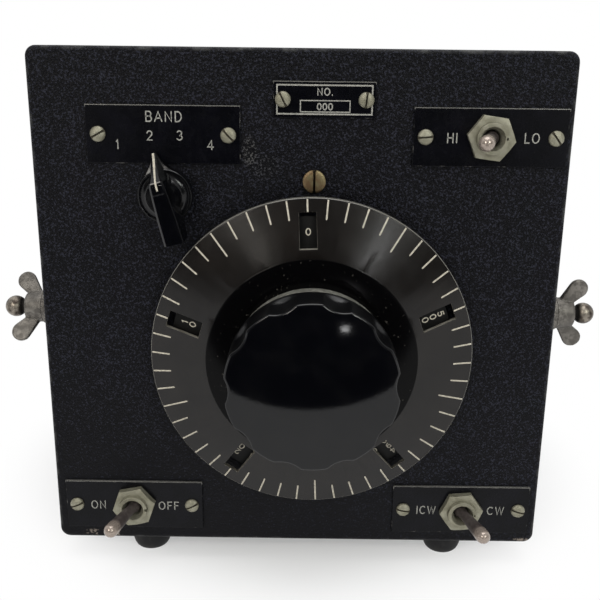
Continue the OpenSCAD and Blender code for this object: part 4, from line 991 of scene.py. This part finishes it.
# Band knob
# A moulded phenolic pointer: a round skirt with a raised lip, a tapered bar with sloped sides, and a square beak.
# A white line is filled along the beak's ridge and a short way up the bar.
BAND_X, BAND_Z, BAND_REST = -40.8, 38.3, -15.0


def on_band(x, y, z):
    """A point of the band knob as it points at rest, with z along its beak."""
    t = math.radians(BAND_REST)
    return on_panel(BAND_X + x * math.cos(t) + z * math.sin(t), y, BAND_Z - x * math.sin(t) + z * math.cos(t))


def pointer():
    """The bar and beak as rings of points.

    Each station gives z, the half widths of web, base and front, the front's bevel, and the y of front and web.
    """
    stations = [(-13.6, 0, 3.25, 2.95, 0.7, -12.8, -4.95), (-6, 0, 3.75, 2.8, 0.7, -12.8, -4.95),
                (0, 0, 3.9, 2.5, 0.65, -12.8, -4.95), (4.2, 0, 3.7, 2.2, 0.6, -12.8, -4.95),
                (5.4, 5.9, 3.3, 1.95, 0.45, -12.35, -4.95), (6.7, 4.7, 2.7, 1.5, 0.35, -10.7, -4.7),
                (7.6, 3.75, 2.3, 1.25, 0.3, -9.5, -4.5), (8.5, 2.9, 1.95, 1.05, 0.25, -8.3, -4.2),
                (9.4, 2.2, 1.6, 0.9, 0.25, -7.1, -3.8), (10.3, 1.65, 1.3, 0.78, 0.25, -5.95, -3.4),
                (11.5, 1.15, 1.0, 0.68, 0.2, -4.5, -2.9), (13, 0.8, 0.75, 0.6, 0.2, -2.95, -2.3)]
    points = []
    for z, web, base, front, bevel, y_front, y_web in stations:
        web = max(web, base)
        beak = z > 5
        half = [(web, -1.5 if beak else y_web), (web, y_web + 0.15 if beak else y_web - 0.01),
                (web - 0.1 if web > base else base, y_web - 0.03), (base, y_web - 0.06)]
        for k in (1, 2, 3):
            t = k / 4
            half.append((base + (front - base) * t ** 1.2, y_web + (y_front + bevel - y_web) * t))
        half += [(front, y_front + bevel), (front - bevel * 0.85, y_front + 0.06), (front - bevel, y_front)]
        points += [on_band(x, y, z) for x, y in half] + [on_band(-x, y, z) for x, y in reversed(half)]
    return points, skin_of(len(stations), len(half) * 2)


bar = new_piece("pointer_bar", *pointer(), phenolic)
skirt_rows = [(0.01, -1.5), (7.6, -1.5), (7.9, -1.55), (8.2, -1.9), (8.2, -4.75), (8.15, -5.0), (8.0, -5.16),
              (7.8, -5.2), (7.6, -5.14), (7.45, -5.0), (7.2, -4.95), (6.4, -5.1), (5.6, -5.6), (4.9, -6.6),
              (4.4, -8.0), (4.1, -9.3), (0.01, -9.5)]
skirt = lathed("pointer_skirt", skirt_rows, on_band, phenolic, 96)
outward(bar)
union = skirt.modifiers.new("union", "BOOLEAN")
union.operation = "UNION"
union.object = bar
made_plain(skirt)
bpy.data.objects.remove(bar)
skirt_top = -9.6
marked(skirt, "side", [0.6 if v.co.y > FRONT + skirt_top * MM else 0 for v in skirt.data.vertices])
smoothed(skirt, 28)
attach(skirt, "band_pointer")
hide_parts("band_knob")
ridge = [(13.02, -2.97), (11.5, -4.53), (10.3, -5.98), (9.4, -7.13), (8.5, -8.33), (7.6, -9.53), (6.7, -10.73),
         (5.4, -12.38), (4.2, -12.83), (2.9, -12.83)]
line = painted("pointer_line",
               [on_band(side * (0.27 if z < 9 else 0.34), y, z) for z, y in ridge for side in (-1, 1)],
               [(2 * i, 2 * i + 1, 2 * i + 3, 2 * i + 2) for i in range(len(ridge) - 1)], cream)
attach(line, "band_pointer")


# Wing nuts and studs
# Cast wing nuts in dull plate stay on the studs by the studs' upset ends.
# Each has a washer against the panel's flange.
cast = Finish("cast_plate", metallic=0.6)
pitting = cast.noise(600.0, 5.0)
plain = cast.tones(140.0, 4.0, 0.35, 0.65, (0.21, 0.195, 0.175), (0.125, 0.116, 0.104))
cast.feed(base_color=cast.mix(pitting.step(0.38, 0.62), (0.10, 0.092, 0.082), plain), roughness=pitting * 0.2 + 0.4)
cast.bump(pitting, 0.08 * MM)
stud_steel = Finish("stud_steel", metallic=0.9)
rust = stud_steel.noise(420.0, 5.0)
out_along = stud_steel.along("X", stud_steel.place()).size()
neck = out_along.step(90.3 * MM, 90.9 * MM) * out_along.step(93.4 * MM, 92.3 * MM)
bright = stud_steel.mix(rust.step(0.38, 0.62), (0.07, 0.057, 0.047), (0.27, 0.24, 0.2))
stud_steel.feed(base_color=stud_steel.mix(neck, bright, (0.012, 0.011, 0.01)),
                roughness=rust * 0.25 + 0.25 + neck * 0.3)
stud_steel.bump(rust, 0.05 * MM)


for node in ("left_wing_nut", "right_wing_nut"):
    source = nodes[node]
    mesh = source.data.copy()
    with reshaped(mesh) as shape:
        bmesh.ops.remove_doubles(shape, verts=shape.verts, dist=1e-6)
    piece = shown(node + "_cast", mesh, cast)
    even = piece.modifiers.new("even", "REMESH")
    even.mode = "VOXEL"
    even.voxel_size = 0.2 * MM
    even.use_smooth_shade = True
    soft = piece.modifiers.new("soft", "SMOOTH")
    soft.factor = 0.5
    soft.iterations = 14
    made_plain(piece)
    piece.data.materials.clear()
    piece.data.materials.append(cast.material)
    piece.data.shade_smooth()
    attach(piece, source["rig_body"])
    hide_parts(node)
dressed("side_studs", stud_steel, 40)
dressed("left_washer", cast, 40, bevel=0.15)
dressed("right_washer", cast, 40, bevel=0.15)


# Tuning drive
# Behind the panel: the brass gear and wheel, the steel worm and shafts, the cast housing and the disc's seat.
brass = mottled("gear_brass", (240, 5, 0.35, 0.75), ((0.62, 0.44, 0.18), (0.40, 0.27, 0.11)),
                (1200, 3, 0.25, 0.25), (2200, 2, 0.01), metallic=1.0)
alloy = mottled("drive_casting", (500, 5, 0.35, 0.7), ((0.40, 0.40, 0.39), (0.52, 0.52, 0.50)),
                (500, 5, 0.3, 0.38), (500, 5, 0.04), metallic=0.85)
for node in ("hub_gear", "worm_wheel", "panel_bushing", "band_bushing"):
    dressed(node, brass, 35)
for node in ("disc_seat", "gear_housing", "housing_cover"):
    dressed(node, alloy, 35)
for node in ("dial_shaft", "worm", "rotor_shaft", "band_shaft", "band_spacers"):
    dressed(node, steel, 35)


# Tuning condenser and chassis
# Sheet aluminium with a rolled grain: the condenser's vanes and frame and the folded chassis.
# Glazed bars hold the stator.
sheet = Finish("sheet_aluminium", metallic=1.0)
grained = sheet.noise(1.0, 3.0, sheet.vector("MULTIPLY", sheet.place(), (60.0, 900.0, 1400.0)))
sheet.feed(base_color=sheet.tones(70.0, 4.0, 0.35, 0.75, (0.62, 0.62, 0.61), (0.48, 0.48, 0.46)),
           roughness=grained * 0.2 + 0.3)
sheet.bump(grained, 0.01 * MM)
for node in ("rotor_plates", "stator_plates", "condenser_frame", "chassis"):
    dressed(node, sheet, 35)
glaze = Finish("glazed_ceramic", coat_weight=0.6)
glaze.feed(base_color=glaze.mix(glaze.noise(300.0, 4.0), (0.66, 0.62, 0.54), (0.78, 0.75, 0.68)),
           roughness=glaze.noise(800.0, 3.0) * 0.15 + 0.25)
glaze.bump(glaze.noise(600.0, 3.0), 0.02 * MM)
dressed("stator_bars", glaze, 35, bevel=0.2)


# Band switch, sockets and formers
# Punched and turned paper laminate, brown with fine fibres.
# The switch bodies, tube bases and inlet beside it are moulded in a brown black.
laminate = Finish("paper_laminate", coat_weight=0.15)
fibres = laminate.noise(1.0, 4.0, laminate.vector("MULTIPLY", laminate.place(), (300.0, 2200.0, 900.0)))
laminate.feed(base_color=laminate.mix(fibres.step(0.3, 0.75), (0.16, 0.075, 0.03), (0.27, 0.14, 0.06)),
              roughness=fibres * 0.2 + 0.35)
laminate.bump(fibres, 0.02 * MM)
for node in ("band_wafers", "band_rotors", "terminal_strip", "tube_sockets", "coil_formers"):
    dressed(node, laminate, 35)
moulding = mottled("brown_black_moulding", (150, 4, 0.4, 0.75), ((0.010, 0.008, 0.007), (0.020, 0.015, 0.012)),
                   (700, 3, 0.2, 0.22), (900, 3, 0.012), coat_weight=0.2)
for node in ("toggle_bodies", "tube_bases", "mains_inlet"):
    dressed(node, moulding, 35, bevel=0.15 if node != "tube_bases" else 0)


# Tubes
# Three glass tubes with blown envelopes over nickel electrodes.
# The glass is thin and clear, and a little smoky in patches.
glass = mottled("blown_glass", (60, 3, 0.35, 0.8), ((0.97, 0.98, 0.97), (0.86, 0.88, 0.88)),
                (60, 3, 0.03, 0.01), (160, 2, 0.02), transmission_weight=1.0, ior=1.45)
dressed("tube_glass", glass, 60)
vanes = mottled("electrode_nickel", (220, 4, 0.35, 0.7), ((0.24, 0.24, 0.25), (0.42, 0.42, 0.42)),
                (220, 4, 0.3, 0.35), (1800, 2, 0.01), metallic=1.0)
dressed("tube_electrodes", vanes, 35)


# Coils, transformer and chokes
# Close-wound copper on the formers, iron cores of thin leaves under black enamel, and waxed paper round the rest.
wire = Finish("enamelled_copper", metallic=0.8, coat_weight=0.3)
wire_pitch, leaf_pitch = 0.9 * MM, 0.5 * MM
turns_of_wire = (wire.along("Z", wire.place()) * (2 * math.pi / wire_pitch)).math("SINE") * 0.5 + 0.5
copper = wire.mix(wire.noise(200.0, 3.0), (0.55, 0.24, 0.09), (0.72, 0.36, 0.15))
# The grooves between the turns are painted darker, as painted shade.
wire.feed(base_color=wire.mix(turns_of_wire.step(0.05, 0.6), (0.12, 0.035, 0.012), copper),
          roughness=wire.noise(600.0, 3.0) * 0.15 + 0.25)
wire.bump(turns_of_wire, 0.3 * MM)
dressed("coil_windings", wire, 35)
core = Finish("core_enamel", specular_ior_level=0.4)
leaves = (core.along("Z", core.place()) * (2 * math.pi / leaf_pitch)).math("SINE") * 0.5 + 0.5
core.feed(base_color=core.tones(120.0, 4.0, 0.35, 0.75, (0.012, 0.012, 0.013), (0.030, 0.028, 0.026)),
          roughness=core.noise(700.0, 3.0) * 0.25 + 0.3)
core.bump(leaves, 0.03 * MM)
for node in ("mains_transformer", "audio_chokes"):
    dressed(node, core, 35, bevel=0.3)
waxed = mottled("waxed_paper", (160, 5, 0.3, 0.75), ((0.38, 0.26, 0.12), (0.55, 0.42, 0.22)),
                (160, 5, 0.2, 0.4), (500, 4, 0.05), specular_ior_level=0.4)
for node in ("transformer_winding", "filter_condensers"):
    dressed(node, waxed, 35, bevel=0.3)


# Rear terminals
# Nickelled brass binding posts and the key jack's bushing, on the apron that shows through the case's cut-out.
dressed("rear_terminals", nickel, 35, bevel=0.12)
